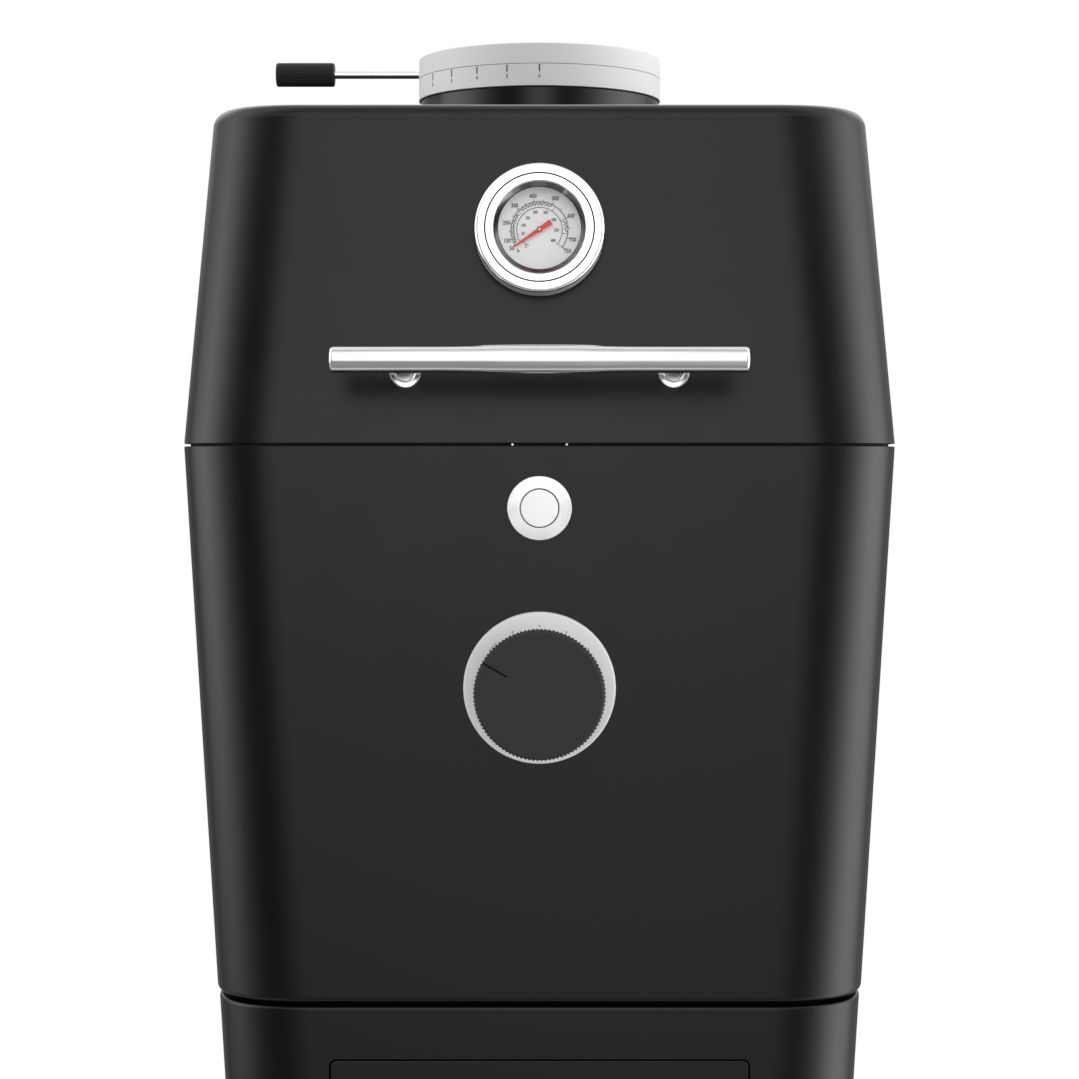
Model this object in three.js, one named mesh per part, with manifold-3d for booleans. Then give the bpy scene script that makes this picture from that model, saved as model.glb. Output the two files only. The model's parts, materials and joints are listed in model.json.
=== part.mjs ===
// An upright charcoal smoker and grill: a tapered, rounded-square cabinet with a hinged hood,
// a turning top vent, a lid gauge, an air knob, an igniter button and an ash drawer.
// Millimetres, +Z up, front towards -Y. The origin is on the floor under the middle of the box.
import * as THREE from "three";
import { mergeVertices } from "three/addons/utils/BufferGeometryUtils.js";
import Module from "manifold-3d";

// Driving dimensions. Each z is a height above the floor.
const gap = 0.3; // clearance left between pieces that touch
const seam = { z: 880, half: 257 }; // where the hood meets the body, and half its width there
const taper = { hood: 0.085, body: 0.0523 }; // how far a wall leans in per millimetre of height
const corner = { reach: 72, power: 2.4, steps: 4 }; // the plan's superellipse corners
const frameShift = 29.25; // from the cabinet's axis to the middle of the box, along Y

const base = { bottom: 25, top: 480, wall: 2.5, inset: 1 };
const feet = { spread: 160, pad: 25, stem: 6 };
const drawer = { width: 298, low: 300.3, high: 440.8, thick: 3, round: 4, margin: 1.2 };
const notch = { width: 120, height: 16 };
const tray = { half: 138, wall: 2, floor: 304, top: 416, front: -198, back: 110 };
const shelf = { z: 300, thick: 3, front: -215 };
const body = { bottom: 483, top: 879, wall: 3, fillet: 4, flange: 4, opening: 190 };
const rim = { z: 871, top: 877, outer: 253.2, inner: 206 };
const gasket = { outer: 246, inner: 236, top: 883.7 };
const bowl = { bottom: 585, top: 877, low: 150, high: 204, wall: 4, lowReach: 45, highReach: 60 };
const chute = { outer: 65.5, inner: 63, bottom: 476 };
const coals = { z: 606, thick: 8, half: 142, leg: 110 };
const deflector = { z: 800, thick: 15, half: 160 };
const grate = { z: 858, thick: 8, half: 190, rim: 8, rod: 5, pitch: 24, count: 15 };
const igniter = { z: 650, rod: 5.5, tip: 30, seat: 180, end: 205 };
const inlet = { x: -120, z: 530, width: 60, height: 34, depth: 27, hole: 5 };
const grille = { z: 600, width: 160, height: 80, slots: 5 };

const hood = { bottom: 881, top: 1121, wall: 3, fillet: 10, chimney: 78 };
const liner = { bottom: 884, roof: 1098.5, inset: 23, wall: 1.5 };
const hinge = { y: 271, z: 884, knuckle: 9, pin: 4, middle: 59, inner: 61, outer: 110 };
const handle = { z: 930.3, post: 93.9, stand: 76, bar: 9.32, swell: 10.1, half: 141.2, flange: 11.4 };
const gauge = { z: 1029.6, radius: 45.5, depth: 20, window: 29.5, dial: 30.6, rest: 214, probe: 90 };
const vent = { collar: 94, ring: 95.6, inner: 84, bore: 72, neck: 1153.2, split: 1170, top: 1186 };
const lever = { z: 1175.3, rod: 3.1, from: 86, to: 190, grip: 9.35, gripFrom: 162.4, gripTo: 208.7 };

const knob = { z: 709.1, dial: 53.65, face: 43, disc: 45.9, waist: 30, shaft: 5, turn: 120 };
const damper = { disc: 44, plate: 48, hole: 14, reach: 38, sweep: 110, duct: 50, ductBore: 42 };
const button = { z: 835.6, bezel: 22.55, barrel: 16.5, bore: 13.9, cap: 13.4, out: 4 };
const spring = { radius: 8, wire: 0.7, turns: 5, top: -9.2, bottom: -21.8 };
const cable = 2.5; // radius of the leads inside the cabinet

// Colour, roughness and metalness of each finish.
const finishes = {
  blackPaint: { color: 0x2c2c2d, roughness: 0.62, metalness: 0.2 },
  greyMetal: { color: 0xcdcdcc, roughness: 0.45, metalness: 0.6 },
  brushedSteel: { color: 0xb9babc, roughness: 0.32, metalness: 1 },
  polishedSteel: { color: 0xe3e3e4, roughness: 0.15, metalness: 1 },
  plainSteel: { color: 0x8d8f92, roughness: 0.5, metalness: 0.8 },
  castIron: { color: 0x232323, roughness: 0.8, metalness: 0.5 },
  enamel: { color: 0x1b1b1d, roughness: 0.35, metalness: 0.1 },
  ceramic: { color: 0xc9bda9, roughness: 0.9, metalness: 0 },
  blackPlastic: { color: 0x1e1e1f, roughness: 0.7, metalness: 0 },
  whitePlastic: { color: 0xf1f1ef, roughness: 0.4, metalness: 0 },
  redPaint: { color: 0xb3231d, roughness: 0.5, metalness: 0 },
  glass: { color: 0xffffff, roughness: 0.05, metalness: 0, transparent: true, opacity: 0.25 },
  felt: { color: 0x19191a, roughness: 1, metalness: 0 },
};

const wasm = await Module();
wasm.setup();

// A closed geometry as a solid. Turned profiles leave flat triangles on their axis, which go.
function toSolid(geometry) {
  const bare = new THREE.BufferGeometry();
  bare.setAttribute("position", geometry.getAttribute("position"));
  bare.setIndex(geometry.index);
  const merged = mergeVertices(bare, 1e-4);
  const corners = merged.index.array;
  const kept = [];
  for (let i = 0; i < corners.length; i += 3) {
    const [a, b, c] = corners.slice(i, i + 3);
    if (a !== b && b !== c && c !== a) kept.push(a, b, c);
  }
  const vertProperties = merged.getAttribute("position").array;
  return new wasm.Manifold(
    new wasm.Mesh({ numProp: 3, vertProperties, triVerts: new Uint32Array(kept) }),
  );
}

function toGeometry(solid) {
  const { vertProperties, triVerts } = solid.getMesh();
  const geometry = new THREE.BufferGeometry();
  geometry.setAttribute("position", new THREE.BufferAttribute(vertProperties, 3));
  geometry.setIndex(new THREE.BufferAttribute(triVerts, 1));
  geometry.computeVertexNormals();
  return geometry;
}

function join(...pieces) {
  return toGeometry(pieces.map(toSolid).reduce((whole, piece) => whole.add(piece)));
}

function cut(blank, ...tools) {
  return toGeometry(tools.map(toSolid).reduce((rest, tool) => rest.subtract(tool), toSolid(blank)));
}

// A box between two limits on each axis.
function block([x0, x1], [y0, y1], [z0, z1]) {
  const geometry = new THREE.BoxGeometry(x1 - x0, y1 - y0, z1 - z0);
  return geometry.translate((x0 + x1) / 2, (y0 + y1) / 2, (z0 + z1) / 2);
}

// A round bar along Z.
function bar(radius, from, to, sides = 20) {
  const geometry = new THREE.CylinderGeometry(radius, radius, to - from, sides);
  return geometry.rotateX(Math.PI / 2).translate(0, 0, (from + to) / 2);
}

const alongX = (geometry) => geometry.rotateY(Math.PI / 2);
const alongY = (geometry) => geometry.rotateX(-Math.PI / 2);

// A turned piece about Z. The profile is a list of [radius, height], closed on itself or on the axis.
function turned(profile, sides = 24) {
  const points = profile.map(([radius, height]) => new THREE.Vector2(radius, height));
  if (THREE.ShapeUtils.isClockWise(points)) points.reverse();
  const onAxis = points.some((point) => point.x === 0);
  if (onAxis) {
    while (points[0].x !== 0 || points[points.length - 1].x !== 0) points.push(points.shift());
  } else {
    points.push(points[0].clone());
  }
  return new THREE.LatheGeometry(points, sides).rotateX(Math.PI / 2);
}

// A flat plate between two heights, from an outline drawn in X and Y.
function plate(outline, from, to, curveSegments = 4) {
  const settings = { depth: to - from, bevelEnabled: false, curveSegments };
  return new THREE.ExtrudeGeometry(outline, settings).translate(0, 0, from);
}

// An outline in Y and Z, extruded between two X positions.
function sidePlate(points, from, to) {
  const outline = new THREE.Shape(points.map(([y, z]) => new THREE.Vector2(y, z)));
  const axes = new THREE.Matrix4().makeBasis(
    new THREE.Vector3(0, 1, 0),
    new THREE.Vector3(0, 0, 1),
    new THREE.Vector3(1, 0, 0),
  );
  return plate(outline, from, to).applyMatrix4(axes);
}

function roundedOutline(width, height, radius) {
  const [x, y] = [width / 2 - radius, height / 2 - radius];
  const outline = new THREE.Shape();
  outline.absarc(x, y, radius, 0, Math.PI / 2);
  outline.absarc(-x, y, radius, Math.PI / 2, Math.PI);
  outline.absarc(-x, -y, radius, Math.PI, 1.5 * Math.PI);
  outline.absarc(x, -y, radius, 1.5 * Math.PI, 2 * Math.PI);
  return outline;
}

// A window between two radii, centred on an angle in degrees.
function sector(inner, outer, middle, sweep) {
  const from = THREE.MathUtils.degToRad(middle - sweep / 2);
  const to = THREE.MathUtils.degToRad(middle + sweep / 2);
  const outline = new THREE.Shape();
  outline.absarc(0, 0, outer, from, to, false);
  outline.absarc(0, 0, inner, to, from, true);
  return outline;
}

// A tube of radius r along a curve.
function tube(curve, radius, steps, sides) {
  const section = new THREE.Shape();
  section.absarc(0, 0, radius, 0, 2 * Math.PI);
  const settings = { steps, curveSegments: sides / 2, extrudePath: curve, bevelEnabled: false };
  return new THREE.ExtrudeGeometry(section, settings);
}

// Half the cabinet's width at a height.
function halfAt(z) {
  const lean = z > seam.z ? taper.hood : taper.body;
  return seam.half - lean * Math.abs(z - seam.z);
}

// One level of a loft: a rounded square of a half width, with corners of a given reach.
const level = (z, half, reach) => ({ z, half, reach });
const skin = (z, inset = 0) => level(z, halfAt(z) - inset, corner.reach - inset);

// A solid through the levels. The unit plan has half width 2 and corners of reach 1.
function loft(...levels) {
  const points = [];
  for (let quarter = 0; quarter < 4; quarter++) {
    for (let step = 0; step <= corner.steps; step++) {
      const angle = (step / corner.steps) * (Math.PI / 2);
      const x = 1 + Math.abs(Math.cos(angle)) ** (2 / corner.power);
      const y = 1 + Math.abs(Math.sin(angle)) ** (2 / corner.power);
      points.push(new THREE.Vector2(x, y).rotateAround(new THREE.Vector2(), (quarter * Math.PI) / 2));
    }
  }
  const steps = levels.length - 1;
  const settings = { depth: steps, steps, bevelEnabled: false };
  const geometry = new THREE.ExtrudeGeometry(new THREE.Shape(points), settings);
  const position = geometry.getAttribute("position");
  for (let i = 0; i < position.count; i++) {
    const { z, half, reach } = levels[Math.round(position.getZ(i))];
    const spread = (value) => Math.sign(value) * (half - reach + reach * (Math.abs(value) - 1));
    position.setXYZ(i, spread(position.getX(i)), spread(position.getY(i)), z);
  }
  return geometry;
}

// A flat ring of rounded-square plan.
function squareRing(from, to, outer, inner, outerReach, innerReach) {
  return cut(
    loft(level(from, outer, outerReach), level(to, outer, outerReach)),
    loft(level(from - 1, inner, innerReach), level(to + 1, inner, innerReach)),
  );
}

// A frame on a front or rear panel at a height: +Z points out of the panel.
function panelFrame(z, { x = 0, inset = 0, rear = false } = {}) {
  const tilt = Math.atan(z > seam.z ? taper.hood : -taper.body);
  const out = rear ? halfAt(z) - inset : inset - halfAt(z);
  const frame = new THREE.Group();
  frame.position.set(x, out, z);
  frame.rotation.x = rear ? tilt - Math.PI / 2 : Math.PI / 2 - tilt;
  frame.updateMatrix();
  return frame;
}

// A tool drawn in a frame, turned into the cabinet's own axes.
const inFrame = (frame, geometry) => geometry.applyMatrix4(frame.matrix);

function add(parent, name, geometry, finish) {
  const mesh = new THREE.Mesh(geometry, new THREE.MeshStandardMaterial(finishes[finish]));
  mesh.name = name;
  parent.add(mesh);
  return mesh;
}

const cabinet = new THREE.Group();
cabinet.position.y = frameShift;
const frames = {
  drawer: panelFrame((drawer.low + drawer.high) / 2, { inset: base.inset }),
  knob: panelFrame(knob.z),
  button: panelFrame(button.z),
  gauge: panelFrame(gauge.z),
  handle: panelFrame(handle.z),
  inlet: panelFrame(inlet.z, { x: inlet.x, rear: true }),
  grille: panelFrame(grille.z, { rear: true }),
};
const hoodGroup = new THREE.Group();
const ventGroup = new THREE.Group();
cabinet.add(hoodGroup, frames.drawer, frames.knob, frames.button, frames.inlet, frames.grille);
hoodGroup.add(ventGroup, frames.gauge, frames.handle);

// The base: feet, floor, shell and the drawer's shelf and runners.
function addBase() {
  const baseSkin = (z, inset = 0) => skin(z, base.inset + inset);
  const foot = [[0, 0], [feet.pad, 0], [feet.pad, 12], [23, 14], [10, 20]];
  foot.push([feet.stem, 20], [feet.stem, base.bottom - gap], [0, base.bottom - gap]);
  for (const [name, x, y] of [["front_left", -1, -1], ["front_right", 1, -1],
    ["rear_left", -1, 1], ["rear_right", 1, 1]]) {
    const mesh = add(cabinet, "foot_" + name, turned(foot, 12), "blackPlastic");
    mesh.position.set(x * feet.spread, y * feet.spread, 0);
  }
  const clear = base.wall + gap;
  add(cabinet, "base_floor", loft(baseSkin(base.bottom, clear), baseSkin(base.bottom + 5, clear)),
    "plainSteel");
  const openingHeight = frames.drawer.height + 2 * drawer.margin;
  const opening = roundedOutline(drawer.width + 2 * drawer.margin, openingHeight, drawer.round + 1);
  add(cabinet, "base_shell", cut(
    loft(baseSkin(base.bottom), baseSkin(base.top - 2), baseSkin(base.top, 2)),
    loft(baseSkin(base.bottom - 1, base.wall), baseSkin(base.top - base.wall, base.wall)),
    bar(chute.outer + 1, base.top - 10, base.top + 1, 24),
    inFrame(frames.drawer, plate(opening, -20, 10, 3)),
  ), "blackPaint");
  add(cabinet, "drawer_shelf", cut(
    loft(baseSkin(shelf.z, clear), baseSkin(shelf.z + shelf.thick, clear)),
    block([-160, 160], [-260, shelf.front], [shelf.z - 1, shelf.z + shelf.thick + 1]),
  ), "plainSteel");
  const runnerFoot = shelf.z + shelf.thick + gap;
  for (const [name, side] of [["left", -1], ["right", 1]]) {
    const geometry = block([-1.5, 1.5], [-200, 150], [runnerFoot, 330]);
    add(cabinet, "drawer_runner_" + name, geometry, "plainSteel").position.x = side * 141;
  }
  add(cabinet, "joint_spacer",
    squareRing(base.top + gap, body.bottom - gap, 215, 185, 60, 40), "blackPlastic");
}

function addDrawer() {
  const height = frames.drawer.height;
  add(frames.drawer, "drawer_front", cut(
    plate(roundedOutline(drawer.width, height, drawer.round), -drawer.thick, 0, 3),
    plate(roundedOutline(notch.width, 2 * notch.height, 6), -drawer.thick - 1, 1, 3)
      .translate(0, -height / 2, 0),
  ), "blackPaint");
  const inside = [-tray.half + tray.wall, tray.half - tray.wall];
  const floorTop = tray.floor + tray.wall;
  const panel = block([-200, 200], [-200, 200], [-drawer.thick - gap, 60]);
  add(cabinet, "ash_tray", cut(
    block([-tray.half, tray.half], [-245, tray.back], [tray.floor, tray.top]),
    block(inside, [tray.front, tray.back - tray.wall], [floorTop, tray.top + 1]),
    block(inside, [-250, tray.front - tray.wall], [tray.floor - 1, tray.top + 1]),
    inFrame(frames.drawer, panel),
  ), "plainSteel");
}

// The body: shell, floor, rim and gasket.
function addBody() {
  const flangeTop = body.bottom + body.flange;
  add(cabinet, "body_floor", cut(
    loft(level(flangeTop + gap, 215, 50), level(flangeTop + 3 + gap, 215, 50)),
    bar(chute.outer + 1, flangeTop - 1, flangeTop + 5, 24),
  ), "plainSteel");
  add(cabinet, "body_shell", cut(
    loft(skin(body.bottom, body.fillet), skin(body.bottom + 1.2, 1.2),
      skin(body.bottom + body.fillet), skin(body.top)),
    loft(skin(flangeTop, body.wall), skin(body.top + 1, body.wall)),
    loft(level(body.bottom - 1, body.opening, 40), level(flangeTop + 1, body.opening, 40)),
    inFrame(frames.button, bar(button.barrel + 0.5, -10, 5)),
    inFrame(frames.knob, bar(9, -10, 5)),
    inFrame(frames.inlet, bar(inlet.hole, -10, 5)),
    inFrame(frames.grille, block([-70, 70], [-30, 30], [-10, 5])),
  ), "blackPaint");
  add(cabinet, "body_rim", squareRing(rim.z, rim.top, rim.outer, rim.inner, 68, 60), "blackPaint");
  add(cabinet, "body_gasket",
    squareRing(rim.top + gap, gasket.top, gasket.outer, gasket.inner, 64, 56), "felt");
}

// The fire bowl with its air duct, igniter seat, and lugs for what hangs in it.
function addFireBowl() {
  const lean = (bowl.high - bowl.low) / (bowl.top - bowl.bottom);
  const bowlHalf = (z) => bowl.low + lean * (z - bowl.bottom);
  const lugs = [];
  for (const [top, inner, width] of [[deflector.z - gap, 150, 34], [grate.z - gap, 182, 44]]) {
    for (let side = 0; side < 4; side++) {
      const lug = block([inner, bowlHalf(top - 10) - 1], [-width / 2, width / 2], [top - 10, top]);
      lugs.push(lug.rotateZ((side * Math.PI) / 2));
    }
  }
  const floorTop = bowl.bottom + 5;
  const legs = [];
  for (const x of [-coals.leg, coals.leg]) {
    for (const y of [-coals.leg, coals.leg]) {
      legs.push(block([x - 6, x + 6], [y - 6, y + 6], [floorTop - 1, coals.z - gap]));
    }
  }
  const innerHigh = level(bowl.top + 5, bowlHalf(bowl.top + 5) - bowl.wall, 56);
  const hollow = cut(
    join(
      loft(level(bowl.bottom, bowl.low, bowl.lowReach), level(bowl.top + 2, bowl.high, bowl.highReach)),
      loft(level(bowl.top + gap, 226, 62), level(bowl.top + 2 + gap, 226, 62)),
      inFrame(frames.knob, bar(damper.duct, -90, -38)),
      alongY(bar(16, 150, igniter.seat, 12)).translate(0, 0, igniter.z),
    ),
    loft(level(floorTop, bowlHalf(floorTop) - bowl.wall, 41), innerHigh),
    bar(chute.outer - 0.5, bowl.bottom - 1, floorTop + 1),
    inFrame(frames.knob, bar(damper.ductBore, -100, -37)),
    alongY(bar(igniter.rod + 1, 140, igniter.seat + 1, 12)).translate(0, 0, igniter.z),
  );
  add(cabinet, "fire_bowl", join(hollow, ...lugs, ...legs), "enamel");
  const chuteFloor = body.bottom + body.flange + 3 + 2 * gap;
  add(cabinet, "ash_chute", turned([
    [chute.inner, chute.bottom], [chute.outer, chute.bottom], [chute.outer, chuteFloor],
    [80, chuteFloor], [80, chuteFloor + 2], [chute.outer, chuteFloor + 2],
    [chute.outer, bowl.bottom - gap], [chute.inner, bowl.bottom - gap],
  ]), "plainSteel");
}

// What lies in the bowl: the coal grate, the deflector, the igniter and the cooking grate.
function addBowlContents() {
  const slots = [];
  for (let x = -104; x <= 104; x += 26) {
    const half = Math.abs(x) > 80 ? 98 : 124;
    slots.push(block([x - 6, x + 6], [-half, half], [coals.z - 1, coals.z + coals.thick + 1]));
  }
  add(cabinet, "charcoal_grate", cut(
    loft(level(coals.z, coals.half, 40), level(coals.z + coals.thick, coals.half, 40)),
    ...slots,
  ), "castIron");
  const deflectorTop = deflector.z + deflector.thick;
  add(cabinet, "heat_deflector",
    loft(level(deflector.z, deflector.half, 45), level(deflectorTop - 2, deflector.half, 45),
      level(deflectorTop, deflector.half - 2, 43)), "ceramic");
  add(cabinet, "igniter_element", alongY(turned([
    [0, igniter.tip], [4, igniter.tip], [igniter.rod, igniter.tip + 2],
    [igniter.rod, igniter.seat + 0.4], [15, igniter.seat + 0.4], [15, igniter.seat + 6],
    [9, igniter.seat + 6], [9, igniter.end], [0, igniter.end],
  ], 12)), "brushedSteel").position.z = igniter.z;
  const rods = [];
  for (let i = 0; i < grate.count; i++) {
    const x = (i - (grate.count - 1) / 2) * grate.pitch;
    const half = grate.half - (Math.abs(x) > 150 ? 22 : 4);
    rods.push(block([x - grate.rod / 2, x + grate.rod / 2], [-half, half], [2, 2 + grate.rod]));
  }
  const reach = grate.half - grate.rim / 2;
  rods.push(block([-reach, reach], [-grate.rod / 2, grate.rod / 2], [1, 1 + grate.rod]));
  const inner = grate.half - grate.rim;
  add(cabinet, "cooking_grate",
    join(squareRing(0, grate.thick, grate.half, inner, 52, 44), ...rods), "castIron")
    .position.z = grate.z;
}

// The electric parts in the back of the body.
function addElectrics() {
  const chamfer = 3;
  const boxOutline = roundedOutline(100, 72, chamfer);
  add(cabinet, "control_box", plate(boxOutline, 0, 69, 2), "blackPlastic").position.set(-120, 176, 491);
  add(frames.inlet, "power_inlet", cut(
    plate(roundedOutline(inlet.width, inlet.height, 3), gap, inlet.depth, 3),
    block([-20.5, 20.5], [-9.5, 9.5], [4, inlet.depth + 1]),
  ), "blackPlastic");
  const slots = [];
  for (let i = 0; i < grille.slots; i++) {
    const y = (i - (grille.slots - 1) / 2) * 12;
    slots.push(block([-66, 66], [y - 3, y + 3], [-1, 5]));
  }
  const face = plate(roundedOutline(grille.width, grille.height, 6), gap, 2.3, 3);
  add(frames.grille, "rear_air_grille", cut(face, ...slots), "blackPaint");
  const leads = {
    wire_button: [
      [-150, 180, 560.5], [-150, 180, 585], [-165, 178, 625], [-205, 150, 700], [-222, 60, 760],
      [-225, -60, 790], [-205, -160, 815], [-120, -217, 832], [-40, -217, 837.6], [-12.5, -217, 837.6],
    ],
    wire_igniter: [
      [-90, 180, 560.5], [-90, 180, 585], [-75, 200, 625], [-30, 224, 650], [0, 221, 652],
      [0, 205.5, 650],
    ],
  };
  const step = 15; // length of one straight stretch of a lead
  for (const [name, points] of Object.entries(leads)) {
    const route = new THREE.CatmullRomCurve3(points.map((point) => new THREE.Vector3(...point)));
    const steps = Math.round(route.getLength() / step);
    add(cabinet, name, tube(route, cable, steps, 8), "blackPlastic");
  }
}

// The air knob, its dial, and the damper that it turns over the bowl's air duct.
function addKnob() {
  const bore = knob.shaft + gap;
  add(frames.knob, "dial_ring", turned([
    [bore, -12], [8.7, -12], [8.7, gap], [knob.dial, gap], [knob.dial, 5], [knob.dial - 1, 6],
    [bore, 6],
  ], 28), "greyMetal");
  const rimFoot = knob.face - 7;
  add(frames.knob, "control_knob", turned([
    [0, knob.face], [knob.disc - 2, knob.face], [knob.disc, knob.face - 2], [knob.disc, rimFoot],
    [knob.disc - 2, rimFoot - 1.5], [knob.waist, 10], [bore, 10], [bore, 32], [0, 32],
  ], 28), "blackPlastic");
  add(frames.knob, "knob_shaft", bar(knob.shaft, -45, 31.5, 12), "plainSteel");
  const closed = -90; // where the plate's window is, and the disc's once it has turned
  add(frames.knob, "damper_disc", cut(
    turned([[bore, -31], [damper.disc, -31], [damper.disc, -28], [9, -28], [9, -24], [bore, -24]]),
    plate(sector(damper.hole, damper.reach, closed + knob.turn, damper.sweep), -35, -20),
  ), "plainSteel");
  add(frames.knob, "port_plate", cut(
    turned([[bore, -37.5], [damper.plate, -37.5], [damper.plate, -34], [bore, -34]]),
    plate(sector(damper.hole, damper.reach, closed, damper.sweep), -40, -30),
  ), "plainSteel");
}

// The igniter button: a bezel through the panel with a nut, a sprung cap and a switch behind it.
function addButton() {
  const webTop = -23;
  const webFoot = -26;
  add(frames.button, "button_bezel", turned([
    [5, webFoot], [button.barrel, webFoot], [button.barrel, gap], [button.bezel, gap],
    [button.bezel, 1.5], [button.bezel - 2, 3.5], [button.bore + 2, 3.5], [button.bore, 2],
    [button.bore, webTop], [5, webTop],
  ], 24), "brushedSteel");
  const nut = cut(bar(23, -9, -body.wall - gap, 6), bar(button.barrel + gap, -10, 0, 24));
  add(frames.button, "button_nut", nut, "plainSteel");
  add(frames.button, "button_cap", turned([
    [0, button.out], [button.cap - 1, button.out], [button.cap, button.out - 1], [button.cap, -8],
    [4, -8], [4, -23.5], [0, -23.5],
  ], 24), "whitePlastic");
  const turns = 2 * Math.PI * spring.turns;
  const coil = new (class extends THREE.Curve {
    getPoint(t) {
      const height = THREE.MathUtils.lerp(spring.top, spring.bottom, t);
      const angle = turns * t;
      return new THREE.Vector3(spring.radius * Math.cos(angle), spring.radius * Math.sin(angle), height);
    }
  })();
  add(frames.button, "button_spring", tube(coil, spring.wire, 10 * spring.turns, 4), "plainSteel");
  const housing = roundedOutline(24, 24, 3);
  add(frames.button, "switch_body", plate(housing, -48, -27, 2), "blackPlastic");
}

// The hinge on the back: a fixed leaf in the middle, one hood leaf on each side, and a pin.
function addHinge() {
  const bodyFace = (z) => halfAt(z) + gap;
  const { y, z, knuckle, pin, middle, inner, outer } = hinge;
  const leaf = (points, from, to) => cut(
    join(sidePlate(points, from, to), alongX(bar(knuckle, from, to, 16)).translate(0, y, z)),
    alongX(bar(pin + gap, from - 1, to + 1, 12)).translate(0, y, z),
  );
  const fixed = [
    [bodyFace(820), 820], [bodyFace(820) + 4, 820], [bodyFace(862) + 4, 862], [y + 7, z - 4],
    [y - 7, z - 3], [bodyFace(876), 876],
  ];
  add(cabinet, "hinge_body_leaf", leaf(fixed, -middle, middle), "blackPaint");
  const moving = [
    [bodyFace(950), 950], [bodyFace(888), 888], [y - 6, z - 1], [y + 7, z + 4],
    [bodyFace(906) + 4, 906], [bodyFace(950) + 4, 950],
  ];
  add(hoodGroup, "hinge_hood_leaf_left", leaf(moving, -outer, -inner), "blackPaint");
  add(hoodGroup, "hinge_hood_leaf_right", leaf(moving, inner, outer), "blackPaint");
  const headFoot = outer + 0.5;
  const headTop = outer + 4;
  add(cabinet, "hinge_pin", alongX(turned([
    [0, -headTop], [6.5, -headTop], [6.5, -headFoot], [pin, -headFoot],
    [pin, headFoot], [6.5, headFoot], [6.5, headTop], [0, headTop],
  ], 12)), "brushedSteel").position.set(0, y, z);
}

// The hood with its inner liner.
function addHood() {
  const chimney = bar(hood.chimney, hood.bottom, hood.top + 20, 28);
  const rounding = [30, 60, 90].map((degrees) => {
    const angle = THREE.MathUtils.degToRad(degrees);
    return skin(hood.top - hood.fillet * (1 - Math.sin(angle)), hood.fillet * (1 - Math.cos(angle)));
  });
  const under = hood.top - hood.wall;
  add(hoodGroup, "hood_shell", cut(
    loft(skin(hood.bottom), skin(hood.top - hood.fillet), ...rounding),
    loft(skin(hood.bottom - 0.5, hood.wall), skin(under - 7, hood.wall),
      skin(under - 2, hood.wall + 2), skin(under, hood.wall + 7)),
    chimney,
    inFrame(frames.gauge, bar(6.5, -10, 5)),
    inFrame(frames.handle, bar(3.5, -10, 5, 12).translate(-handle.post, 0, 0)),
    inFrame(frames.handle, bar(3.5, -10, 5, 12).translate(handle.post, 0, 0)),
  ), "blackPaint");
  const lined = liner.inset + liner.wall;
  const roof = liner.roof - liner.wall;
  add(hoodGroup, "hood_liner", cut(
    join(
      loft(skin(liner.bottom, liner.inset), skin(roof - gap, liner.inset)),
      loft(level(liner.bottom, 253.2, 68), level(liner.bottom + 2, 253.2, 68)),
    ),
    loft(skin(liner.bottom - 1, lined), skin(roof + 1, lined)),
    inFrame(frames.gauge, bar(9, -40, -10)),
  ), "plainSteel");
  const throat = [
    [vent.bore, roof], [hood.chimney - 1, roof], [hood.chimney - 1, hood.top], [vent.bore, hood.top],
  ];
  add(hoodGroup, "liner_roof", join(
    cut(
      loft(skin(roof, liner.inset), skin(liner.roof, liner.inset)),
      bar(vent.bore + 2, roof - 1, liner.roof + 1, 28),
    ),
    turned(throat, 28),
  ), "plainSteel");
}

function addHandle() {
  for (const [name, side] of [["left", -1], ["right", 1]]) {
    const saddle = alongX(bar(handle.bar + gap, -20, 20, 20)).translate(0, 0, handle.stand);
    const post = turned([
      [0, -8], [3, -8], [3, gap], [handle.flange, gap], [handle.flange, 3], [handle.flange - 1, 4],
      [7, 4], [7, handle.stand - 2], [0, handle.stand - 2],
    ], 16);
    add(frames.handle, "handle_post_" + name, cut(post, saddle), "polishedSteel")
      .position.x = side * handle.post;
  }
  const profile = [
    [0, -handle.half], [handle.bar - 2, -handle.half], [handle.bar, 2 - handle.half],
    [handle.bar, -54], [9.6, -40], [handle.swell, -24], [handle.swell, 24], [9.6, 40],
    [handle.bar, 54], [handle.bar, handle.half - 2], [handle.bar - 2, handle.half], [0, handle.half],
  ];
  add(frames.handle, "handle_bar", alongX(turned(profile, 20)), "brushedSteel")
    .position.z = handle.stand;
}

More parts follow.
